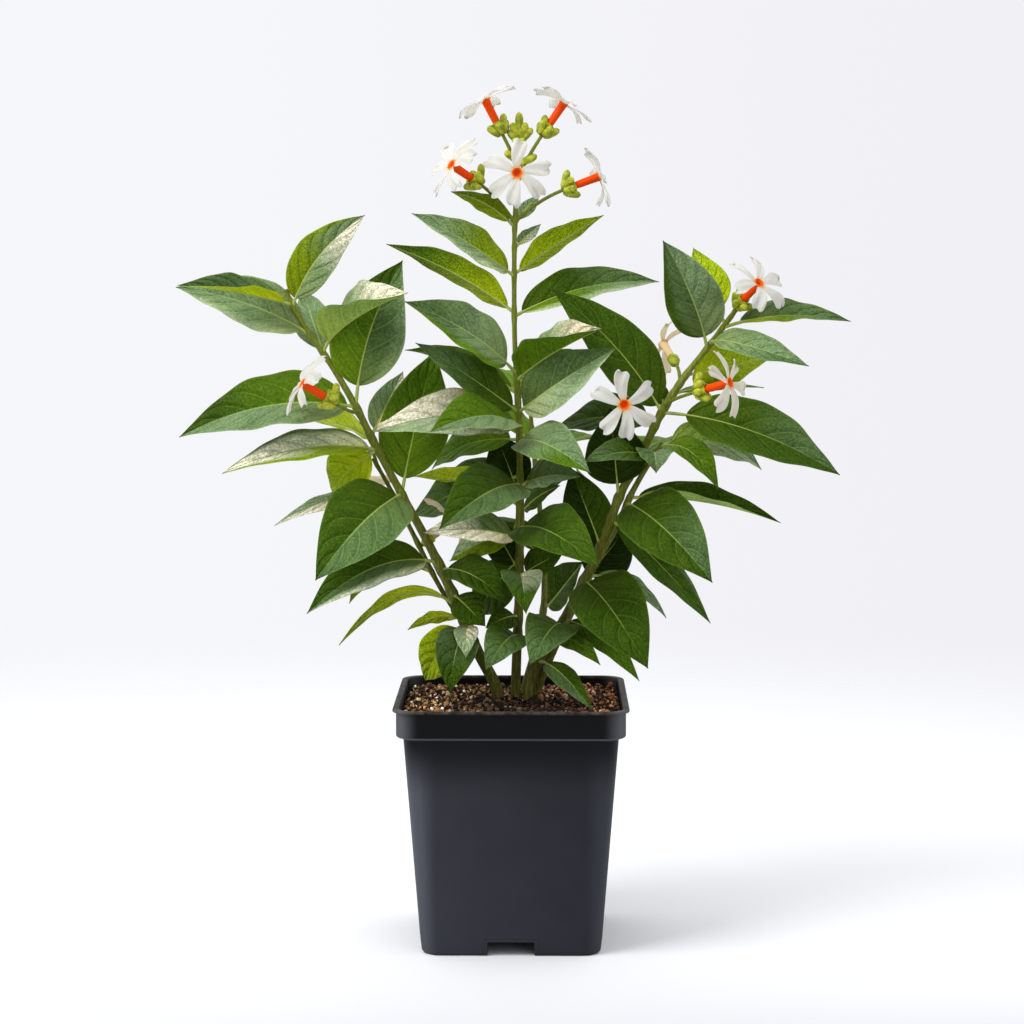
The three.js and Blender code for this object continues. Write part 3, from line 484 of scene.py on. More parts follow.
# A bloom's stalk leaves its stem at height at. seat is the place of its tube's foot, and axis the way it
# faces, as (x, y, z). turns are its petals' directions in degrees, and faded is how limp and brown they are.
# Buds crowd round the cup of a budded one.
BLOOMS = {
    "top_left": dict(stem="centre", at=436, seat=(-8, 458, 0), axis=(-0.43, 0.12, 0.85), budded=True),
    "top_right": dict(stem="centre", at=428, seat=(20, 457, 0), axis=(0.54, 0.12, 0.79), budded=True),
    "upper_left": dict(stem="centre", at=403, seat=(-22, 428, -12), axis=(-0.72, -0.5, 0.48), budded=True,
                       turns=(12, 72, 132, 192, 252, 312)),
    "front": dict(stem="centre", at=424, seat=(3, 430, -7), axis=(0, -1, 0.06),
                  turns=(15, 90, 155, 213, 267, 322)),
    "upper_right": dict(stem="centre", at=404, seat=(34, 424, 0), axis=(0.91, 0.15, 0.34), budded=True),
    "left_side": dict(stem="left", at=299, seat=(-104, 306, -44), axis=(-0.8, -0.25, 0.52), budded=True,
                      turns=(20, 80, 140, 200, 260, 320)),
    "right_top": dict(stem="right", at=351, seat=(129, 361, -17), axis=(0.5, -0.62, 0.6), budded=True,
                      turns=(7, 67, 127, 187, 247, 307)),
    "right_side": dict(stem="right", at=302, seat=(108, 311, -42), axis=(0.82, -0.5, 0.26), budded=True,
                       turns=(39, 99, 159, 219, 279, 339), faded=0.35),
    "right_front": dict(stem="right", at=270, seat=(62, 302, -40), axis=(0.03, -1, 0.08),
                        turns=(30, 95, 160, 226, 278, 330)),
    "right_back": dict(stem="right", at=314, seat=(90, 328, 4), axis=(-0.3, 0.8, 0.5),
                       turns=(75, 125, 250, 300), faded=0.9),
    "left_faded": dict(stem="left_shoot", at=268, seat=(-83, 271, 24), axis=(-0.3, 0.75, -0.6),
                       turns=(60, 120, 200, 260), faded=0.9),
    "left_back": dict(stem="left_shoot", at=224, seat=(-46, 227, 16), axis=(0.74, 0.3, 0.6),
                      turns=(70, 130, 210, 280), faded=1),
}
# A leaf leaves its stem at height at and ends at its tip, and wide is its blade's width. In degrees, tilt
# turns its face from up to the front, fold lifts its halves, and twist turns it on the way to the tip. lift
# and bow raise and bend its curve, whose knee lies at the share peak, and petiole is its stalk's length.
# look, tip_look, edge and under name its colours, which the section on the leaves gives.
LEAVES = {
    "centre": [
        dict(at=401, tip=(-34, 421, -12), wide=17, tilt=-30, lift=5, look="olive lime"),
        dict(at=402, tip=(15, 419, 22), wide=10, tilt=40, lift=2, look="grey"),
        dict(at=388, tip=(16, 403, 14), wide=9, tilt=40, lift=1, petiole=4, look="grey pale"),
        dict(at=373, tip=(-56, 409, -28), wide=27, tilt=44, lift=3,
             look="grey olive", tip_look="grey", edge="sage ."),
        dict(at=374, tip=(51, 408, 18), wide=22, tilt=-42, lift=2, bow=-0.5, petiole=4, look="lime"),
        dict(at=354, tip=(-70, 392, 14), wide=26, tilt=-40, lift=5, look="lime", tip_look="green olive"),
        dict(at=352, tip=(82, 371, 34), wide=28, tilt=40, lift=9, fold=18, twist=8,
             look="deep green", tip_look="slate grey", edge=". sage"),
        dict(at=320, tip=(-60, 360, -34), wide=34, tilt=48, lift=7, petiole=11,
             look="grey", tip_look="slate", edge="green ."),
        dict(at=316, tip=(50, 345, -44), wide=37, tilt=4, lift=3, fold=46, peak=0.3, twist=40,
             look="grey", tip_look="tan", under="green"),
        dict(at=309, tip=(-60, 333, 26), wide=24, tilt=-34, lift=6.5, look="green"),
        dict(at=304, tip=(42, 331, 26), wide=29, tilt=-38, lift=7, look="olive"),
        dict(at=298, tip=(-54, 337, -30), wide=26, tilt=52, lift=2, look="deep", tip_look="slate"),
        dict(at=298, tip=(58, 334, -36), wide=32, tilt=62, lift=3,
             look="slate sage", tip_look="slate grey", edge=". sage"),
        dict(at=290, tip=(-46, 287, -56), wide=36, tilt=46, lift=9, look="grey green"),
        dict(at=290, tip=(-78, 287, -24), wide=34, tilt=50, lift=12, look="pale tan", tip_look="sage buff"),
        dict(at=281, tip=(44, 264, -52), wide=30, tilt=56, lift=9, look="grey", tip_look="grey green"),
        dict(at=282, tip=(-45, 266, 26), wide=30, tilt=42, lift=9, look="green"),
        dict(at=244, tip=(-55, 262, 46), wide=26, tilt=-44, lift=6, look="glow"),
        dict(at=257, tip=(-41, 232, -62), wide=38, tilt=52, lift=9, look="slate deep"),
        dict(at=256, tip=(38, 262, -12), wide=30, tilt=34, lift=4, look="slate grey"),
        dict(at=250, tip=(-9, 286, 14), wide=27, tilt=84, lift=2, look="shade"),
        dict(at=240, tip=(27, 257, 20), wide=18, tilt=-50, lift=3, look="deep"),
        dict(at=232, tip=(49, 211, -60), wide=38, tilt=52, lift=10, look="deep"),
        dict(at=226, tip=(-50, 230, -22), wide=27, tilt=40, lift=5, look="buff slate", tip_look="buff"),
        dict(at=208, tip=(-14, 240, 5), wide=22, tilt=80, lift=0, look="shade"),
        dict(at=206, tip=(8, 184, -54), wide=24, tilt=30, lift=8, look="pale slate", tip_look="deep"),
        dict(at=205, tip=(29, 219, 2), wide=20, tilt=50, lift=2, look="deep"),
        dict(at=237, tip=(-7, 208, 46), wide=24, tilt=60, lift=4, look="deep"),
        dict(at=262, tip=(-56, 240, 74), wide=34, tilt=62, lift=6, look="deep"),
        dict(at=229, tip=(-35, 214, 4), wide=22, tilt=50, lift=6, look="olive sage"),
        dict(at=216, tip=(-21, 183, 26), wide=28, tilt=66, lift=4, look="deep"),
        dict(at=183, tip=(-15, 176, -14), wide=15, tilt=58, lift=4, look="deep"),
        dict(at=172, tip=(-15, 152, -40), wide=26, tilt=55, lift=8, look="deep", tip_look="slate"),
    ],
    "left": [
        dict(at=357, tip=(-82, 408, -12), wide=26, tilt=68, lift=8, bow=-3.5,
             look="olive grey", tip_look="grey buff", edge="olive ."),
        dict(at=358, tip=(-187, 369, -56), wide=22, tilt=12, lift=2, fold=44, twist=-36,
             look="slate", under="glow"),
        dict(at=342, tip=(-188, 368, -20), wide=35, tilt=50, lift=3, bow=3, look="grey", edge="sage ."),
        dict(at=331, tip=(-58, 365, -58), wide=39, tilt=8, lift=6, fold=46, peak=0.22, petiole=8, twist=44,
             look="grey", tip_look="buff", under="moss"),
        dict(at=301, tip=(-61, 383, -14), wide=42, tilt=82, lift=3, petiole=12, bow=-5,
             look="green slate", tip_look="deep slate", edge=". grey"),
        dict(at=301, tip=(-187, 284, -20), wide=41, tilt=46, lift=11, bow=2,
             look="grey green", tip_look="grey deep"),
        dict(at=282, tip=(-115, 294, 32), wide=32, tilt=-50, lift=4, look="glow"),
        dict(at=284, tip=(-61, 321, 26), wide=18, tilt=76, lift=2, petiole=6, look="grey buff"),
        dict(at=277, tip=(-163, 263.5, -30), wide=27, tilt=36, lift=9,
             look="olive pale", tip_look="buff", edge="olive slate"),
        dict(at=277, tip=(-101, 253, 4), wide=28, tilt=70, lift=8, look="lime"),
        dict(at=252, tip=(-43, 333, 16), wide=40, tilt=80, lift=3, petiole=9, bow=-1, look="green"),
        dict(at=252, tip=(-111, 203, -52), wide=46, tilt=60, lift=12, look="slate deep"),
        dict(at=213, tip=(-116, 184, -50), wide=31, tilt=46, lift=12, petiole=10, bow=4,
             look="slate deep", edge="pale ."),
        dict(at=209, tip=(-3, 190, -28), wide=27, tilt=34, lift=8, look="deep"),
        dict(at=196, tip=(-15, 177, -16), wide=19, tilt=70, lift=4, look="deep"),
        dict(at=187, tip=(-98, 166, -10), wide=16, tilt=-34, lift=20, peak=0.28, petiole=12,
             look="glow", tip_look="lime"),
        dict(at=181, tip=(-59, 175, 8), wide=15, tilt=-34, lift=5, petiole=5, look="glow"),
        dict(at=177, tip=(-49, 146, 6), wide=24, tilt=60, lift=13, peak=0.3, petiole=6, look="lime"),
        dict(at=176, tip=(-35, 139, -30), wide=25, tilt=62, lift=9, petiole=6, bow=2,
             look="slate", tip_look="deep"),
        dict(at=178, tip=(-26, 159, -32), wide=14, tilt=60, lift=5, petiole=4,
             look="buff sage", tip_look="sage"),
        dict(at=330, tip=(-117, 366, 30), wide=22, tilt=80, lift=2, look="grey"),
    ],
    "left_shoot": [
        dict(at=250, tip=(-134, 234, -20), wide=18, tilt=26, lift=8, look="buff sage"),
        dict(at=208, tip=(-92, 190, 48), wide=32, tilt=0, lift=10, look="green"),
    ],
    "right": [
        dict(at=334, tip=(84, 394, -30), wide=33, tilt=74, lift=5, petiole=8, bow=2,
             look="slate grey", edge="deep ."),
        dict(at=347, tip=(101, 390, 6), wide=24, tilt=-76, lift=-4, petiole=9, look="lime", edge=". olive"),
        dict(at=345, tip=(189, 349, -16), wide=24, tilt=30, lift=6, fold=18, petiole=10,
             look="slate olive", tip_look="slate"),
        dict(at=336, tip=(166, 324, -38), wide=21, tilt=44, lift=6, peak=0.05, petiole=5,
             look="grey", tip_look="grey slate"),
        dict(at=319, tip=(148, 331, 26), wide=38, tilt=-62, lift=-1, look="lime"),
        dict(at=308, tip=(141, 312, 36), wide=14, tilt=14, lift=3, look="green"),
        dict(at=298, tip=(184, 263, -18), wide=38, tilt=50, lift=9, petiole=14, bow=-2,
             look="deep", tip_look="slate deep"),
        dict(at=298, tip=(22, 367, -10), wide=35, tilt=58, lift=6, bow=3, look="deep"),
        dict(at=300, tip=(83, 316, 14), wide=9, tilt=70, lift=0, petiole=3, look="deep"),
        dict(at=290, tip=(24, 288, 32), wide=34, tilt=40, lift=8, look="deep"),
        dict(at=250, tip=(55, 301, -20), wide=36, tilt=84, lift=0, petiole=9, look="shade"),
        dict(at=238, tip=(112, 179, 10), wide=22, tilt=42, lift=9, bow=4, look="deep", edge="slate ."),
        dict(at=232, tip=(36, 267, 34), wide=12, tilt=60, lift=0, look="sage"),
        dict(at=222, tip=(33, 267, 12), wide=28, tilt=84, lift=3, look="shade deep"),
        dict(at=203, tip=(68, 237, 30), wide=32, tilt=84, lift=-4, look="shade"),
        dict(at=203, tip=(77, 153, -42), wide=42, tilt=60, lift=11, look="deep"),
        dict(at=262, tip=(92, 282, 70), wide=34, tilt=0, lift=8, look="green"),
    ],
    "right_shoot": [
        dict(at=280, tip=(140, 266, 14), wide=30, tilt=40, lift=11, look="moss sage", tip_look="grey sage"),
        dict(at=279, tip=(116, 255, -24), wide=20, tilt=32, lift=11, look="green"),
        dict(at=273, tip=(81, 264, -38), wide=22, tilt=60, lift=6, petiole=5, look="grey slate"),
        dict(at=272, tip=(40, 270, -38), wide=20, tilt=46, lift=6, look="deep", tip_look="slate"),
        dict(at=250, tip=(151, 236, 6), wide=22, tilt=6, lift=5, fold=44, twist=40,
             look="deep", under="moss"),
        dict(at=247, tip=(113, 202, -46), wide=42, tilt=60, lift=11, look="deep", tip_look="slate deep"),
        dict(at=206, tip=(87, 182, 12), wide=18, tilt=30, lift=9, look="grey"),
        dict(at=178, tip=(10, 155, -46), wide=30, tilt=52, lift=8, look="deep", tip_look="slate"),
        dict(at=181, tip=(72, 146, -16), wide=17, tilt=38, lift=10, look="deep", tip_look="green"),
        dict(at=168, tip=(50, 155, -26), wide=16, tilt=34, lift=9, petiole=5, look="green"),
        dict(at=156, tip=(46, 129, -34), wide=14, tilt=44, lift=8, peak=0.35, petiole=10,
             look="deep slate"),
    ],
    "back": [
        dict(at=186, tip=(40, 214, 58), wide=28, tilt=-60, lift=0, look="deep"),
        dict(at=216, tip=(-42, 234, 92), wide=36, tilt=0, lift=9, look="deep"),
        dict(at=216, tip=(62, 222, 88), wide=36, tilt=0, lift=9, look="deep"),
        dict(at=250, tip=(14, 248, 130), wide=40, tilt=0, lift=10, look="deep"),
        dict(at=278, tip=(-42, 300, 100), wide=36, tilt=0, lift=9, look="green"),
        dict(at=268, tip=(64, 280, 98), wide=32, tilt=0, lift=9, look="green"),
        dict(at=300, tip=(4, 318, 124), wide=34, tilt=0, lift=9, look="green"),
    ],
}


def unit(vectors):
    """Vectors scaled to length 1."""
    return vectors / np.linalg.norm(vectors, axis=-1, keepdims=True)


def spot(place):
    """The point of space for a place (x, z, y) of the front elevation: x and z spread from the eye's line by
    1 + y / its distance."""
    x, z, y = place
    spread = 1 + y / EYE_DISTANCE
    return np.array([EYE_ACROSS + (x - EYE_ACROSS) * spread, y, EYE_HEIGHT + (z - EYE_HEIGHT) * spread])


def along_stem(name, knot_shares):
    """Points of a centripetal Catmull-Rom curve at knot numbers with a share: the cubic between two knots
    whose slopes are set by the neighbours, spaced by the roots of their distances."""
    knots = np.array([spot((x, z, y)) for z, x, y, _ in STEMS[name]])
    padded = np.concatenate([[2 * knots[0] - knots[1]], knots, [2 * knots[-1] - knots[-2]]])
    knot_shares = np.atleast_1d(knot_shares)
    lower = np.clip(knot_shares.astype(int), 0, len(knots) - 2)
    share = (knot_shares - lower)[:, None]
    before, start, end, after = (padded[lower + step] for step in range(4))
    pairs = (before, start), (start, end), (end, after)
    gaps = [np.sqrt(np.linalg.norm(b - a, axis=1, keepdims=True)) for a, b in pairs]
    first = (start - before) / gaps[0] - (end - before) / (gaps[0] + gaps[1]) + (end - start) / gaps[1]
    last = (end - start) / gaps[1] - (after - start) / (gaps[1] + gaps[2]) + (after - end) / gaps[2]
    first, last = first * gaps[1], last * gaps[1]
    square = 3 * (end - start) - 2 * first - last
    cube = 2 * (start - end) + first + last
    return start + first * share + square * share**2 + cube * share**3


def on_stem(name, height):
    """The point of a stem at a height of the front elevation."""
    heights = [knot[0] for knot in STEMS[name]]
    lower = np.clip(np.searchsorted(heights, height, side="right") - 1, 0, len(heights) - 2)
    share = (height - heights[lower]) / (heights[lower + 1] - heights[lower])
    return along_stem(name, lower + share)[0]


def tube(points, radii, sides, ribs=0, depth=0.0):
    """A closed tube along points: at each, a ring square to the line, of radius r(1 + depth cos(ribs a))."""
    ways = unit(np.gradient(points, axis=0))
    start = np.eye(3)[np.argmin(abs(ways).max(axis=0))]
    across = unit(start - ways * (ways @ start)[:, None])
    other = np.cross(ways, across)
    turn = np.linspace(0, 2 * np.pi, sides, endpoint=False)
    reach = np.asarray(radii)[:, None] * (1 + depth * np.cos(ribs * turn))
    offset = across[:, None] * np.cos(turn)[:, None] + other[:, None] * np.sin(turn)[:, None]
    return with_poles(points[:, None] + reach[..., None] * offset)


def bend(start, knee, end, t):
    """Points at shares t of a curve that leaves start and reaches end along the lines through its knee:
    (1 - t)^2 start + 2t(1 - t) knee + t^2 end."""
    return (1 - t) ** 2 * start + 2 * t * (1 - t) * knee + t**2 * end


def stem_tube(name):
    """A stem: a ribbed tube through its knots, whose radius swells by the bell exp(-(d / reach)^2), with d
    the height above or below a place where leaves or a stalk join it."""
    knots = STEMS[name]
    shares = np.linspace(0, len(knots) - 1, STEPS_A_KNOT * (len(knots) - 1) + 1)
    heights = np.interp(shares, range(len(knots)), [knot[0] for knot in knots])
    radii = np.interp(shares, range(len(knots)), [knot[3] for knot in knots])
    joints = [leaf["at"] for leaf in LEAVES[name]]
    joints += [bloom["at"] for bloom in BLOOMS.values() if bloom["stem"] == name]
    bells = np.exp(-(((heights[:, None] - np.array(joints)) / SWELLING_REACH) ** 2))
    swollen = radii * (SLIM + SWELLING * bells.max(axis=1))
    return tube(along_stem(name, shares), swollen, STEM_SIDES, STEM_RIBS, RIB_DEPTH)


def bloom_frame(bloom):
    """A bloom's foot, the way it faces, its right and its up."""
    out = unit(np.array(bloom["axis"], dtype=float))
    right = unit(np.cross((0, 0, 1), out))
    return spot(bloom["seat"]), out, right, np.cross(out, right)


def stalk_grid(bloom):
    """A bloom's stalk: a tube on a bend from its stem to its cup, which it enters along the bloom's axis."""
    foot, out, _, _ = bloom_frame(bloom)
    base = foot - CALYX_LENGTH * out
    root = on_stem(bloom["stem"], bloom["at"])
    knee = base - 0.45 * np.linalg.norm(base - root) * out
    line = bend(root, knee, base + out, np.linspace(0, 1, STALK_STEPS)[:, None])
    return tube(line, np.linspace(*STALK_RADII, STALK_STEPS), STALK_SIDES)


finish, tree = new_finish("green_bark")
where = object_place(tree)
_, _, z = where.split()
streak = noise(tree, where.scaled((1, 1, 0.12)), 900, 3, 0.6)
cork = noise(tree, where, 260, 4, 0.6)
height_up = z.between(0.14, 0.36)
colour = height_up.mix((0.090, 0.088, 0.012), (0.135, 0.165, 0.014))
colour = (streak.between(0.42, 0.72) * 0.6).mix(colour, (0.25, 0.28, 0.07))
colour = (cork.between(0.5, 0.72) * (1 - z.between(0.14, 0.19)) * 0.6).mix(colour, (0.10, 0.065, 0.02))
finish_with(tree, colour, 0.5 + streak * 0.15, streak + cork * 0.5, 0.0001, Specular_IOR_Level=0.08)

for plant, stems in PLANTS.items():
    stalks = [stalk_grid(bloom) for bloom in BLOOMS.values() if bloom["stem"] in stems]
    grids = [stem_tube(stem) for stem in stems] + stalks
    make_piece(f"{plant}_stems", grids, finish, [f"{plant}_leafy_stem"])

# The blooms: a white pinwheel of six notched petals on an orange tube. Petals and tube are one soft corolla,
# which sits in the green cup on its stalk. Some blooms are a day old, and limp ones show only four petals.
EVEN_TURNS = (0, 60, 120, 180, 240, 300)
BLOOM_RADIUS = 19.5
EYE_RADIUS = 2.6
CLAW_HALF = 1.4
PETAL_ROWS = 17
PETAL_ACROSS = [1, 0.9, 0.75, 0.55, 0.35, 0.15, -0.1, -0.3, -0.5, -0.7, -0.88, -1]
PETAL_HALF_THICK = 0.3
PETAL_PITCH = 9
PETAL_CUP = 4
PETAL_RIPPLE = 0.7
PETAL_CURL = (-3.2, 0.6)
LIMP_CURL = 3
NOTCH_DEPTH = 0.2
TUBE_LENGTH = 16
TUBE_SIDES = 20
TUBE_RIBS = 6
TUBE_RIB_DEPTH = 0.04
# The tube's profile, (distance along its axis, radius): out along its wall, over its mouth and back inside.
TUBE_PROFILE = [
    (-2.65, 1.7), (4, 2.2), (10, 2.3), (14, 2.4), (15.4, 2.6), (15.9, 3.0), (16.1, 3.05), (16.1, 2.7),
    (15.7, 2.1), (15, 1.7), (13.6, 1.3),
]


def both_faces(across):
    """A thin section's columns, there and back: the places u across it, and 1 on its upper face or -1 on its
    lower one."""
    u = np.array(across + across[-2:0:-1])
    return u, np.where(np.arange(len(u)) < len(across), 1.0, -1.0)


def petal_grid(frame, degrees, curl, faded):
    """One petal as a thin leaf of two faces: at share s out and u across, it reaches to an end with a
    V-shaped notch, widens from a narrow claw, pitches like a sail, and curls back by the power 2.5 of s. It
    thins to its rims as the root of 1 - u^6. A faded one is narrow and limp."""
    foot, out, right, up = frame
    u, face = both_faces(PETAL_ACROSS)
    s = np.linspace(0, 1, PETAL_ROWS)[:, None]
    notch = NOTCH_DEPTH * np.maximum(0, 1 - abs(u + 0.1) / 0.42)
    end = BLOOM_RADIUS * (1 - notch - 0.13 * abs(u) ** 4 - 0.06 * (u < -0.1))
    reach = EYE_RADIUS + (end - EYE_RADIUS) * s
    half = (CLAW_HALF + 3.4 * s**0.8 - 0.7 * s**6) * (1 - 0.35 * faded)
    side = half * u
    share = reach / BLOOM_RADIUS
    lift = TUBE_LENGTH - 1 + np.tan(np.radians(PETAL_PITCH)) * side + PETAL_CUP * share * (1 - share**2)
    wave = PETAL_RIPPLE * s * np.sin(4.5 * u + 4 * s + degrees)
    lift = lift + curl * s**2.5 + wave - 0.6 * s * (1 - u**2)
    lift = lift + PETAL_HALF_THICK * face * np.sqrt(1 - 0.98 * u**6) * (1 - 0.35 * s)
    turn = np.radians(degrees) + 0.1 * np.sin(2.5 * s + degrees)
    x, y = reach * np.cos(turn) - side * np.sin(turn), reach * np.sin(turn) + side * np.cos(turn)
    grid = foot + lift[..., None] * out + x[..., None] * right + y[..., None] * up
    places = np.stack([(u + 1) / 2 + 0 * s, share], axis=-1)
    return with_poles(grid), np.concatenate([places[:1], places, places[-1:]])


def turned(frame, profile, sides, ribs, depth):
    """A round body on a bloom's axis from a profile (distance along it, radius), of radius
    r(1 + depth cos(ribs a)) at the angle a."""
    foot, out, right, up = frame
    along, radius = np.array(profile, dtype=float).T
    turn = np.linspace(0, 2 * np.pi, sides, endpoint=False)
    way = np.cos(turn)[:, None] * right + np.sin(turn)[:, None] * up
    reach = radius[:, None] * (1 + depth * np.cos(ribs * turn))
    return with_poles(foot + along[:, None, None] * out + reach[..., None] * way)


def white_petals():
    """Petal white that lets light through: cream clouds and fine ribs, with a peach halo and an orange ring
    round the eye on the upper face, and cream all over where faded."""
    finish, tree = new_finish("petal_white")
    where = object_place(tree)
    across, out, _ = Wire.node(tree, "TexCoord", output="UV").split()
    age, above, _ = Wire.node(tree, "Attribute", {"attribute_name": "tone"}, output="Color").split()
    cloud = noise(tree, where, 150, 3)
    rib = (across * 46).math("SINE") * 0.5 + 0.5
    colour = cloud.between(0.35, 0.8).mix((0.83, 0.83, 0.80), (0.80, 0.77, 0.70))
    colour = (age * (0.5 + 0.5 * cloud)).mix(colour, (0.88, 0.78, 0.58))
    colour = (rib * 0.12).mix(colour, (0.74, 0.73, 0.68))
    colour = (above * out.between(0.27, 0.165) * 0.8).mix(colour, (0.86, 0.68, 0.44))
    colour = (above * out.between(0.170, 0.140)).mix(colour, (0.84, 0.34, 0.04))
    skin = finish_with(tree, colour, 0.6, Specular_IOR_Level=0.15)
    through = Wire.node(tree, "BsdfTranslucent", {}, {"Color": colour})
    both = Wire.node(tree, "MixShader", {}, {0: 0.58, 1: skin, 2: through})
    tree.links.new(both.socket, tree.nodes["Material Output"].inputs["Surface"])
    return finish


def orange_tube():
    """The tube's orange: red orange at the cup, amber under the petals, deep red in the mouth, and buff
    where faded."""
    finish, tree = new_finish("tube_orange")
    where = object_place(tree)
    _, along, _ = Wire.node(tree, "TexCoord", output="UV").split()
    age = Wire.node(tree, "Attribute", {"attribute_name": "tone"}, output="Fac")
    streak = noise(tree, where, 500, 3)
    colour = along.between(0.30, 0.58).mix((0.74, 0.050, 0.001), (0.86, 0.26, 0.010))
    colour = along.between(0.47, 0.56).mix(colour, (0.86, 0.46, 0.11))
    colour = along.between(0.60, 0.68).mix(colour, (0.70, 0.085, 0.006))
    colour = (streak * 0.25).mix(colour, (0.80, 0.14, 0.01))
    colour = age.between(0.4, 1.0).mix(colour, (0.74, 0.56, 0.30))
    finish_with(tree, colour, 0.45, streak, 0.0001, Specular_IOR_Level=0.05)
    return finish


petal_white = white_petals()
tube_orange = orange_tube()
above = np.maximum(both_faces(PETAL_ACROSS)[1], 0)
for name, bloom in BLOOMS.items():
    frame_of_bloom = bloom_frame(bloom)
    turns = bloom.get("turns", EVEN_TURNS)
    faded = bloom.get("faded", 0)
    curls = rng.uniform(*PETAL_CURL, len(turns)) - LIMP_CURL * faded
    petals = [petal_grid(frame_of_bloom, turn, curl, faded) for turn, curl in zip(turns, curls)]
    grids, maps = zip(*petals)
    tone = np.column_stack([np.full(len(above), faded), above, 0 * above, 0 * above + 1])
    tones = [np.broadcast_to(tone, (len(grid), *tone.shape)) for grid in grids]
    make_piece(f"{name}_corolla", grids, petal_white, [f"{name}_petals"], maps, tones, crease=70)
    grid = turned(frame_of_bloom, TUBE_PROFILE, TUBE_SIDES, TUBE_RIBS, TUBE_RIB_DEPTH)
    along = np.linspace(0, 1, len(grid))[:, None, None]
    places = np.concatenate([0 * along, along], axis=-1) + np.zeros((1, grid.shape[1], 1))
    age = np.full((*grid.shape[:2], 4), float(faded))
    node = f"{name}_tube"
    make_piece(f"{name}_flower_tube", [grid], tube_orange, [node], [places], [age])

# The cups and the buds: ribbed yellow green cups that hold the tubes, with pods crowded round some of them
# and at the top of the middle stem. They grow out of the stalks' ends and out of that stem.
CUP_PROFILE = [
    (-6, 1.2), (-5, 2.1), (-3.4, 3), (-1.6, 3.2), (0.2, 3.2), (1.2, 3.1), (1.3, 2.7), (0, 2.4), (-2, 2.3),
]
CUP_RIBS = 5
CUP_SIDES = 20
BUD_SIDES = 15
BUD_RINGS = 14
BUD_RING = 2.2
CUP_BUD_RADIUS = 2.15
UPRIGHT_BUD = (10, 2.2)
TOP_BUD_RADIUS = 2.4
# Buds round a cup are (direction in degrees, lean, length), and those on the middle stem (height, direction,
# length).
CUP_BUDS = [(250, 0.5, 9), (20, 0.55, 7), (75, 0.4, 6.5), (130, 0.5, 8), (190, 0.6, 7), (310, 0.6, 8)]
TOP_BUDS = [
    (450, (0, 0, 1), 15),
    (449, (-0.36, -0.2, 0.92), 11),
    (449, (0.38, -0.2, 0.92), 11),
    (448, (0.68, -0.1, 0.72), 11),
    (448, (-0.64, -0.1, 0.76), 9),
    (446, (-0.3, -0.8, 0.6), 7),
    (446, (0.4, -0.8, 0.5), 7),
    (446, (0.1, 0.9, 0.5), 8),
    (436, (0.95, -0.05, 0.45), 12),
    (438, (-0.9, -0.1, 0.7), 9),
]


def bud_grid(foot, way, length, radius):
    """A bud: a blunt ribbed pod, fuller to its tip, whose radius falls off at both ends as the root of
    1 - |2s - 1|^3.2."""
    share = np.linspace(0, 1, BUD_RINGS)
    swell = radius * np.sqrt(np.clip(1 - abs(2 * share - 1) ** 3.2, 0.02, 1)) * (0.8 + 0.25 * share)
    line = foot + (share * 1.06 - 0.06)[:, None] * length * np.asarray(way)
    return tube(line, swell, BUD_SIDES, CUP_RIBS, RIB_DEPTH)


def cup_grids(bloom):
    """A bloom's ribbed cup, and if it is budded the buds that lean out round the cup and an upright one."""
    frame_of_bloom = bloom_frame(bloom)
    foot, out, right, up = frame_of_bloom
    base = foot - CALYX_LENGTH * out
    grids = [turned(frame_of_bloom, CUP_PROFILE, CUP_SIDES, CUP_RIBS, RIB_DEPTH)]
    if "budded" in bloom:
        for degrees, lean, length in CUP_BUDS:
            side = np.cos(np.radians(degrees)) * right + np.sin(np.radians(degrees)) * up
            way = unit(lean * side + out)
            grids.append(bud_grid(base + BUD_RING * side, way, length, CUP_BUD_RADIUS))
        way = unit(np.array((0.15, 0, 1)) + 0.15 * out)
        grids.append(bud_grid(base + (0, 0, 1.5), way, *UPRIGHT_BUD))
    return grids


finish, tree = new_finish("bud_green")
where = object_place(tree)
blush = noise(tree, where, 300, 3)
rough_skin = noise(tree, where, 1400, 2)
colour = blush.between(0.35, 0.65).mix((0.16, 0.21, 0.006), (0.46, 0.48, 0.030))
colour = (rough_skin.between(0.35, 0.7) * 0.35).mix(colour, (0.55, 0.58, 0.12))
finish_with(tree, colour, 0.5, rough_skin, 0.0002, Specular_IOR_Level=0.08)

for plant, stems in PLANTS.items():
    green = [grid for bloom in BLOOMS.values() if bloom["stem"] in stems for grid in cup_grids(bloom)]
    if plant == "centre":
        for at, way, length in TOP_BUDS:
            green.append(bud_grid(on_stem(plant, at), unit(np.array(way)), length, TOP_BUD_RADIUS))
    if green:
        make_piece(f"{plant}_buds", green, finish, [f"{plant}_leafy_stem"], crease=60)

# The leaves: about ninety pointed blades in pairs, leathery, dark green and a little glossy above and
# paler yellow green below, with a pale midrib and arched side veins. Each is carried by a short stalk.
PETIOLE = 5
PETIOLE_RADIUS = 1.0
MIDRIB_RINGS = 22
MIDRIB_SIDES = 7
BLADE_HALF_THICK = 0.24
BLADE_PEAK = 0.308
BLADE_ROWS = 40
FOLD = 14
FLAT_UNDER = 20
WAVE = 0.05
RIPPLE = 0.035
QUILT = 0.025
ARCH = 0.2
GROOVE = 0.35
SIDE_VEINS = 6
HALF_ACROSS = [1, 0.95, 0.85, 0.7, 0.54, 0.38, 0.24, 0.12, 0.03]
BLADE_ACROSS = HALF_ACROSS + [0] + [-u for u in reversed(HALF_ACROSS)]
TIP_FROM = 0.35
TIP_BLEND = 0.35
EDGE_FROM = 0.62
EDGE_BLEND = 0.16
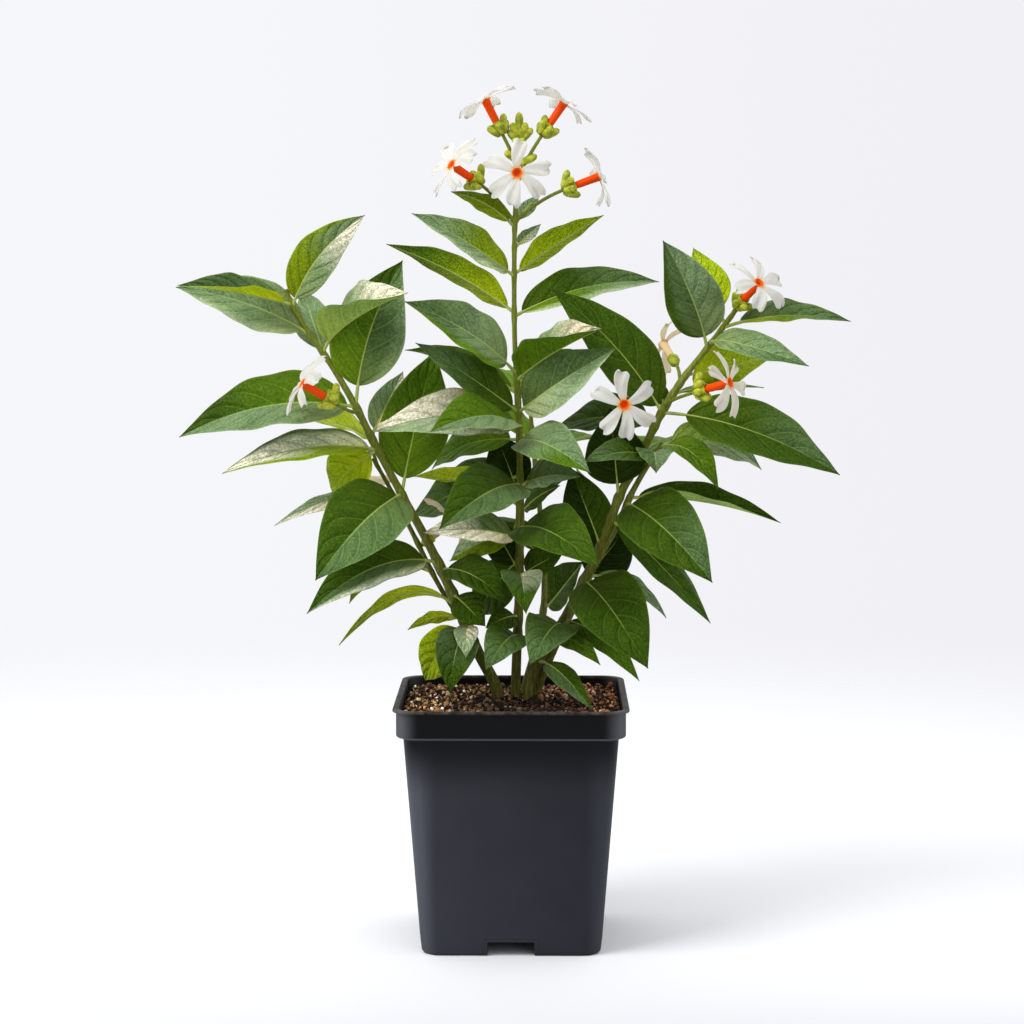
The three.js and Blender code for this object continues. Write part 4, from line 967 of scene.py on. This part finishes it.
# The colours of a blade's areas: deep, green, olive and moss are leaf greens; slate, grey, sage and pale are
# green with painted sheen; tan and buff are painted highlights; lime and glow are the blade's paler green
# with painted light through it; and shade is painted shade on leaves inside the plant. A leaf's look names
# its halves' colours, minus then plus, or one for both. tip_look is that of the outer length, edge that of
# the rims, and under that of the face below.
LOOKS = {
    "shade": (0.014, 0.032, 0.002),
    "deep": (0.040, 0.084, 0.004),
    "green": (0.092, 0.182, 0.007),
    "olive": (0.160, 0.240, 0.005),
    "lime": (0.300, 0.410, 0.006),
    "glow": (0.450, 0.570, 0.014),
    "moss": (0.260, 0.400, 0.085),
    "slate": (0.084, 0.146, 0.046),
    "grey": (0.165, 0.250, 0.112),
    "sage": (0.295, 0.390, 0.215),
    "pale": (0.520, 0.580, 0.410),
    "tan": (0.620, 0.550, 0.410),
    "buff": (0.860, 0.800, 0.640),
}


def blade_half(share):
    """Half the width of a blade of unit width: s^0.65 (1 - s)^1.15, scaled so that its peak is a half."""
    return 0.5 * share**0.65 * (1 - share) ** 1.15 / BLADE_PEAK


def midrib(stem, leaf, along):
    """Points, directions and upward normals of a leaf's midrib at shares of its length, and the length: a
    bend from the stem to the tip that leaves the straight line by lift and bow. Twist turns its normals."""
    root = on_stem(stem, leaf["at"])
    end = spot(leaf["tip"])
    chord = end - root
    tilt = np.radians(leaf["tilt"])
    face = np.array([0, -np.sin(tilt), np.cos(tilt)])
    rise = unit(face - unit(chord) * (face @ unit(chord)))
    aside = np.cross(unit(chord), rise)
    knee = root + chord * leaf.get("peak", 0.45) + rise * 2 * leaf["lift"] + aside * 2 * leaf.get("bow", 0)
    t = np.linspace(0, 1, 201)[:, None]
    steps = np.linalg.norm(np.diff(bend(root, knee, end, t), axis=0), axis=1)
    gone = np.concatenate([[0], np.cumsum(steps)])
    length = gone[-1]
    t = np.interp(along * length, gone, t[:, 0])[:, None]
    ways = unit((1 - t) * (knee - root) + t * (end - knee))
    petiole = leaf.get("petiole", PETIOLE)
    share = np.maximum(0, (along * length - petiole) / (length - petiole))[:, None]
    normals = unit(face - ways * (ways @ face)[:, None])
    twist = np.radians(leaf.get("twist", 0)) * share
    normals = normals * np.cos(twist) + np.cross(ways, normals) * np.sin(twist)
    return bend(root, knee, end, t), ways, normals, length


def blade_grid(stem, leaf, number):
    """A blade and its map: across its midrib a point lies at u times the half width, raised by the fold u,
    an arch u(1 - u), waves that grow to the rim and quilting between the side veins, and sunk by a groove
    over the midrib. Its two faces draw together to the rim as the root of 1 - u^8."""
    petiole = leaf.get("petiole", PETIOLE)
    length = midrib(stem, leaf, np.array([1.0]))[3]
    s = np.concatenate([[0.004, 0.02, 0.05], np.linspace(0.085, 0.985, BLADE_ROWS), [1.0]])[:, None]
    points, ways, normals, _ = midrib(stem, leaf, (petiole + s[:, 0] * (length - petiole)) / length)
    across = np.cross(ways, normals)
    u, face = both_faces(BLADE_ACROSS)
    side = abs(u)
    wide = leaf["wide"]
    fold = np.radians(leaf.get("fold", 0 if wide < FLAT_UNDER else FOLD))
    half = np.maximum(wide * blade_half(s), 0.18) * (1 + 0.015 * np.sin(9 * s + number) * np.sign(u))
    wave = WAVE * half * np.sin(2 * np.pi * 2.2 * s + leaf["at"]) * np.sign(u) * side**1.5
    ripple = RIPPLE * half * np.sin(2 * np.pi * 4 * s + 2 * leaf["at"] + 1.5 * np.sign(u)) * side**3
    vein = SIDE_VEINS * (s - 0.2 * side - 0.1 * side**2) + 0.5 * (u > 0)
    quilt = -QUILT * half * np.cos(2 * np.pi * vein) * np.minimum(4 * side, 1) * (1 - side**4)
    arch = ARCH * half * side * (1 - side)
    groove = -GROOVE * np.exp(-((side * half / 1.2) ** 2)) * (1 - s)
    height = half * np.sin(fold) * side + arch + wave + ripple + quilt + groove
    height = height + BLADE_HALF_THICK * face * np.sqrt(1 - 0.99 * side**8)
    sideways = (half * np.cos(fold) * u)[..., None] * across[:, None]
    grid = points[:, None] + sideways + height[..., None] * normals[:, None]
    places = np.stack([(u + 1) / 2 + 0 * s, s + 0 * u], axis=-1)
    return with_poles(grid), np.concatenate([places[:1], places, places[-1:]])


def half_looks(names, plus):
    """The colour of each column: that of the first name on the minus half and of the last on the plus half.
    A dot names no colour."""
    names = names.split()
    return np.where(plus[:, None], LOOKS.get(names[-1], np.nan), LOOKS.get(names[0], np.nan))


def blade_tones(leaf, shape, number):
    """The colours of a blade: each half's look, blended into the tip's by the share s along it and into the
    rim's by the share u across it. The face turned from the front has one colour all over, and each blade
    has a brightness of its own."""
    u, face = both_faces(BLADE_ACROSS)
    s = np.linspace(0, 1, shape[0])[:, None, None]
    base = half_looks(leaf["look"], u > 0)
    tip = half_looks(leaf.get("tip_look", leaf["look"]), u > 0)
    rim = half_looks(leaf.get("edge", "."), u > 0)
    tone = base + (tip - base) * np.clip((s - TIP_FROM) / TIP_BLEND, 0, 1)
    reached = np.clip((abs(u) - EDGE_FROM) / EDGE_BLEND, 0, 1)[:, None]
    tone = np.where(np.isnan(rim), tone, tone + (rim - tone) * reached)
    turned_over = leaf["tilt"] < 0
    hidden = face == (1 if turned_over else -1)
    other = LOOKS["deep" if turned_over else leaf.get("under", "olive")]
    brightness = 0.88 + 0.24 * ((number * 0.618) % 1)
    tone = np.where(hidden[:, None], other, tone) * brightness
    return np.concatenate([tone, np.ones((*shape, 1))], axis=-1)


def midrib_grid(stem, leaf):
    """A leaf's stalk and midrib: a tube that thins to the tip and lies mostly under the blade."""
    along = np.linspace(0, 0.97, MIDRIB_RINGS)
    points, _, normals, length = midrib(stem, leaf, along)
    petiole = leaf.get("petiole", PETIOLE)
    share = np.clip((along * length - petiole) / (length - petiole), 0, 1)
    radii = PETIOLE_RADIUS * (1 - 0.3 * (share > 0)) * (1 - 0.8 * share)
    sunk = 0.55 * radii * np.minimum(8 * share, 1)
    return tube(points - normals * sunk[:, None], radii, MIDRIB_SIDES)


# Side veins are counted along the blade. Pale looks, which have more blue, get dark veins and dark mottles.
leaf_green, tree = new_finish("leaf_green")
where = object_place(tree)
across, along, _ = Wire.node(tree, "TexCoord", output="UV").split()
tone = Wire.node(tree, "Attribute", {"attribute_name": "tone"}, output="Color")
offset = across * 2 - 1
side = abs(offset)
vein_count = (along - side * 0.2 - side * side * 0.1) * SIDE_VEINS + offset.math("GREATER_THAN", 0) * 0.5
vein_gap = 0.5 - abs(vein_count.math("FRACT") - 0.5)
side_vein = vein_gap.between(0.06, 0.012) * side.between(0.95, 0.5)
valley = vein_gap.between(0.34, 0.0) * side.between(1.0, 0.7)
rib = side.between(0.045, 0.012)
rim = side.between(0.93, 0.98)
net = Wire.node(tree, "TexVoronoi", {"feature": "DISTANCE_TO_EDGE"}, {"Vector": where, "Scale": 480.0})
mesh_line = net.between(0.16, 0.02)
patch = noise(tree, where, 60, 3)
fine = noise(tree, where, 650, 3, 0.6)
blotch = noise(tree, where, 170, 4, 0.65)
_, _, blue = tone.split()
light = blue.between(0.16, 0.36)
darker = tone.scaled((0.58, 0.63, 0.55))
sockets = {0: tone, 1: (1.5, 1.45, 1.5), 2: (0.03, 0.04, 0.008)}
lighter = Wire.node(tree, "VectorMath", {"operation": "MULTIPLY_ADD"}, sockets)
brighter = tone.scaled((1.42, 1.36, 1.3))
painted_light_through = tone.scaled((1.9, 1.5, 0.9))
colour = (patch.between(0.3, 0.7) * 0.4 + fine.between(0.35, 0.65) * 0.6).mix(darker, brighter)
# Towards its base the blade takes a yellower tone: painted light shining through it.
colour = (along.between(0.5, 0.0) * 0.45).mix(colour, painted_light_through)
# The groove along each side vein is darkened as painted shade.
colour = (valley * 0.32).mix(colour, darker)
mottled = light * blotch.between(0.52, 0.68) * 0.5 + light * mesh_line * 0.1
colour = mottled.mix(colour, (0.19, 0.24, 0.11))
# The pale line along each rim is a painted highlight.
line = (side_vein * 0.6 + mesh_line * 0.1 + rim * 0.5 + rib * 0.9).math("MINIMUM", 1.0)
colour = line.mix(colour, light.mix(lighter, (0.16, 0.20, 0.10)))
height = fine * 0.4 - valley * 0.7 - mesh_line * 0.3
finish_with(tree, colour, fine * 0.12 + 0.42, height, 0.0011, Specular_IOR_Level=0.045)

midrib_green, tree = new_finish("midrib_green")
where = object_place(tree)
fleck = noise(tree, where, 400, 3)
colour = fleck.mix((0.24, 0.31, 0.05), (0.42, 0.48, 0.13))
finish_with(tree, colour, 0.5, fleck, 0.0001, Specular_IOR_Level=0.12)

for plant, stems in PLANTS.items():
    node = f"{plant}_leafy_stem"
    leaves = [(stem, leaf) for stem in stems for leaf in LEAVES[stem]]
    grids, maps = zip(*[blade_grid(stem, leaf, number) for number, (stem, leaf) in enumerate(leaves)])
    tones = [blade_tones(leaf, grids[number].shape[:2], number) for number, (_, leaf) in enumerate(leaves)]
    make_piece(f"{plant}_blades", grids, leaf_green, [node], maps, tones, crease=60)
    ribs = [midrib_grid(stem, leaf) for stem, leaf in leaves]
    make_piece(f"{plant}_midribs", ribs, midrib_green, [node], crease=60)

# The studio: a pale floor that fades into a pale surround, a large soft lamp high on the left in front, a
# weaker one on the right, and the camera where the photograph was taken from. All is in metres and radians.
# The floor is greyer in front of the plant as painted shade, and clear from afar, where the surround shows
# instead.
FLOOR_RADIUS = 3.0
FLOOR_SIDES = 96
turn = np.linspace(0, 2 * np.pi, FLOOR_SIDES, endpoint=False)
corners = np.column_stack([FLOOR_RADIUS * np.cos(turn), FLOOR_RADIUS * np.sin(turn), 0 * turn])
mesh = bpy.data.meshes.new("floor")
mesh.from_pydata(corners, [], [list(range(FLOOR_SIDES))])
floor = bpy.data.objects.new("floor", mesh)
bpy.context.scene.collection.objects.link(floor)
finish, tree = new_finish("floor_white")
away = Wire.node(tree, "VectorMath", {"operation": "LENGTH"}, {0: object_place(tree)}, output="Value")
_, y, _ = object_place(tree).split()
# Painted shade: the floor is greyer towards the front.
white = y.between(0.0, -0.25).mix((0.72, 0.72, 0.727), (0.52, 0.525, 0.54))
cover = finish_with(tree, white, 0.9, Specular_IOR_Level=0.0)
clear = Wire.node(tree, "BsdfTransparent")
faded = Wire.node(tree, "MixShader", {}, {0: away.between(0.3, 1.3), 1: cover, 2: clear})
tree.links.new(faded.socket, tree.nodes["Material Output"].inputs["Surface"])
mesh.materials.append(finish)

# The surround lights the plant from above and behind, and shows itself as a plain pale grey, a little darker
# to the right as painted shade.
world = bpy.data.worlds.new("surround")
world.use_nodes = True
tree = world.node_tree
rightward, backward, upward = Wire.node(tree, "TexCoord", output="Generated").split()
soft = (backward * 0.6 + upward * 0.5).between(-0.75, 0.65)
lit = soft.mix((0.44, 0.45, 0.47), (1.40, 1.42, 1.47))
# Painted shade: the surround as seen is a little darker to the right.
plain = rightward.between(-0.2, 0.2).mix((0.925, 0.930, 0.955), (0.880, 0.878, 0.915))
seen = Wire.node(tree, "LightPath", output="Is Camera Ray")
tree.links.new(seen.mix(lit, plain).socket, tree.nodes["Background"].inputs["Color"])
bpy.context.scene.world = world

# Each lamp is (name, place, width, power in watts), and faces the middle of the plant.
LAMPS = [
    ("key_lamp", (-1.05, -0.75, 1.5), 0.9, 26),
    ("fill_lamp", (0.7, -1.6, 0.8), 1.0, 5),
]
LIT_POINT = np.array((0.0, 0.0, 0.25))
for name, place, size, power in LAMPS:
    lamp = bpy.data.lights.new(name, "AREA")
    lamp.size = size
    lamp.energy = power
    holder = bpy.data.objects.new(name, lamp)
    holder.location = place
    aim = LIT_POINT - place
    holder.rotation_euler = (np.arctan2(np.hypot(aim[0], aim[1]), -aim[2]), 0, np.arctan2(-aim[0], aim[1]))
    bpy.context.scene.collection.objects.link(holder)

# The camera's distance is level, from the pot's axis, and its focal length is in pixels of the photograph.
CAMERA_DISTANCE = 1.493
CAMERA_HEIGHT = 0.3856
CAMERA_TURN = 0.011
CAMERA_PITCH = 0.0959
FOCAL_PIXELS = 2665
IMAGE_PIXELS = 1024
lens = bpy.data.cameras.new("camera")
lens.sensor_width = 36
lens.lens = FOCAL_PIXELS / IMAGE_PIXELS * lens.sensor_width
lens.clip_start = 0.05
lens.clip_end = 50
camera = bpy.data.objects.new("camera", lens)
back = CAMERA_DISTANCE * np.cos(CAMERA_TURN)
camera.location = (CAMERA_DISTANCE * np.sin(CAMERA_TURN), -back, CAMERA_HEIGHT)
camera.rotation_euler = (np.pi / 2 - CAMERA_PITCH, 0, CAMERA_TURN)
bpy.context.scene.collection.objects.link(camera)
bpy.context.scene.camera = camera
bpy.context.scene.view_settings.view_transform = "Standard"
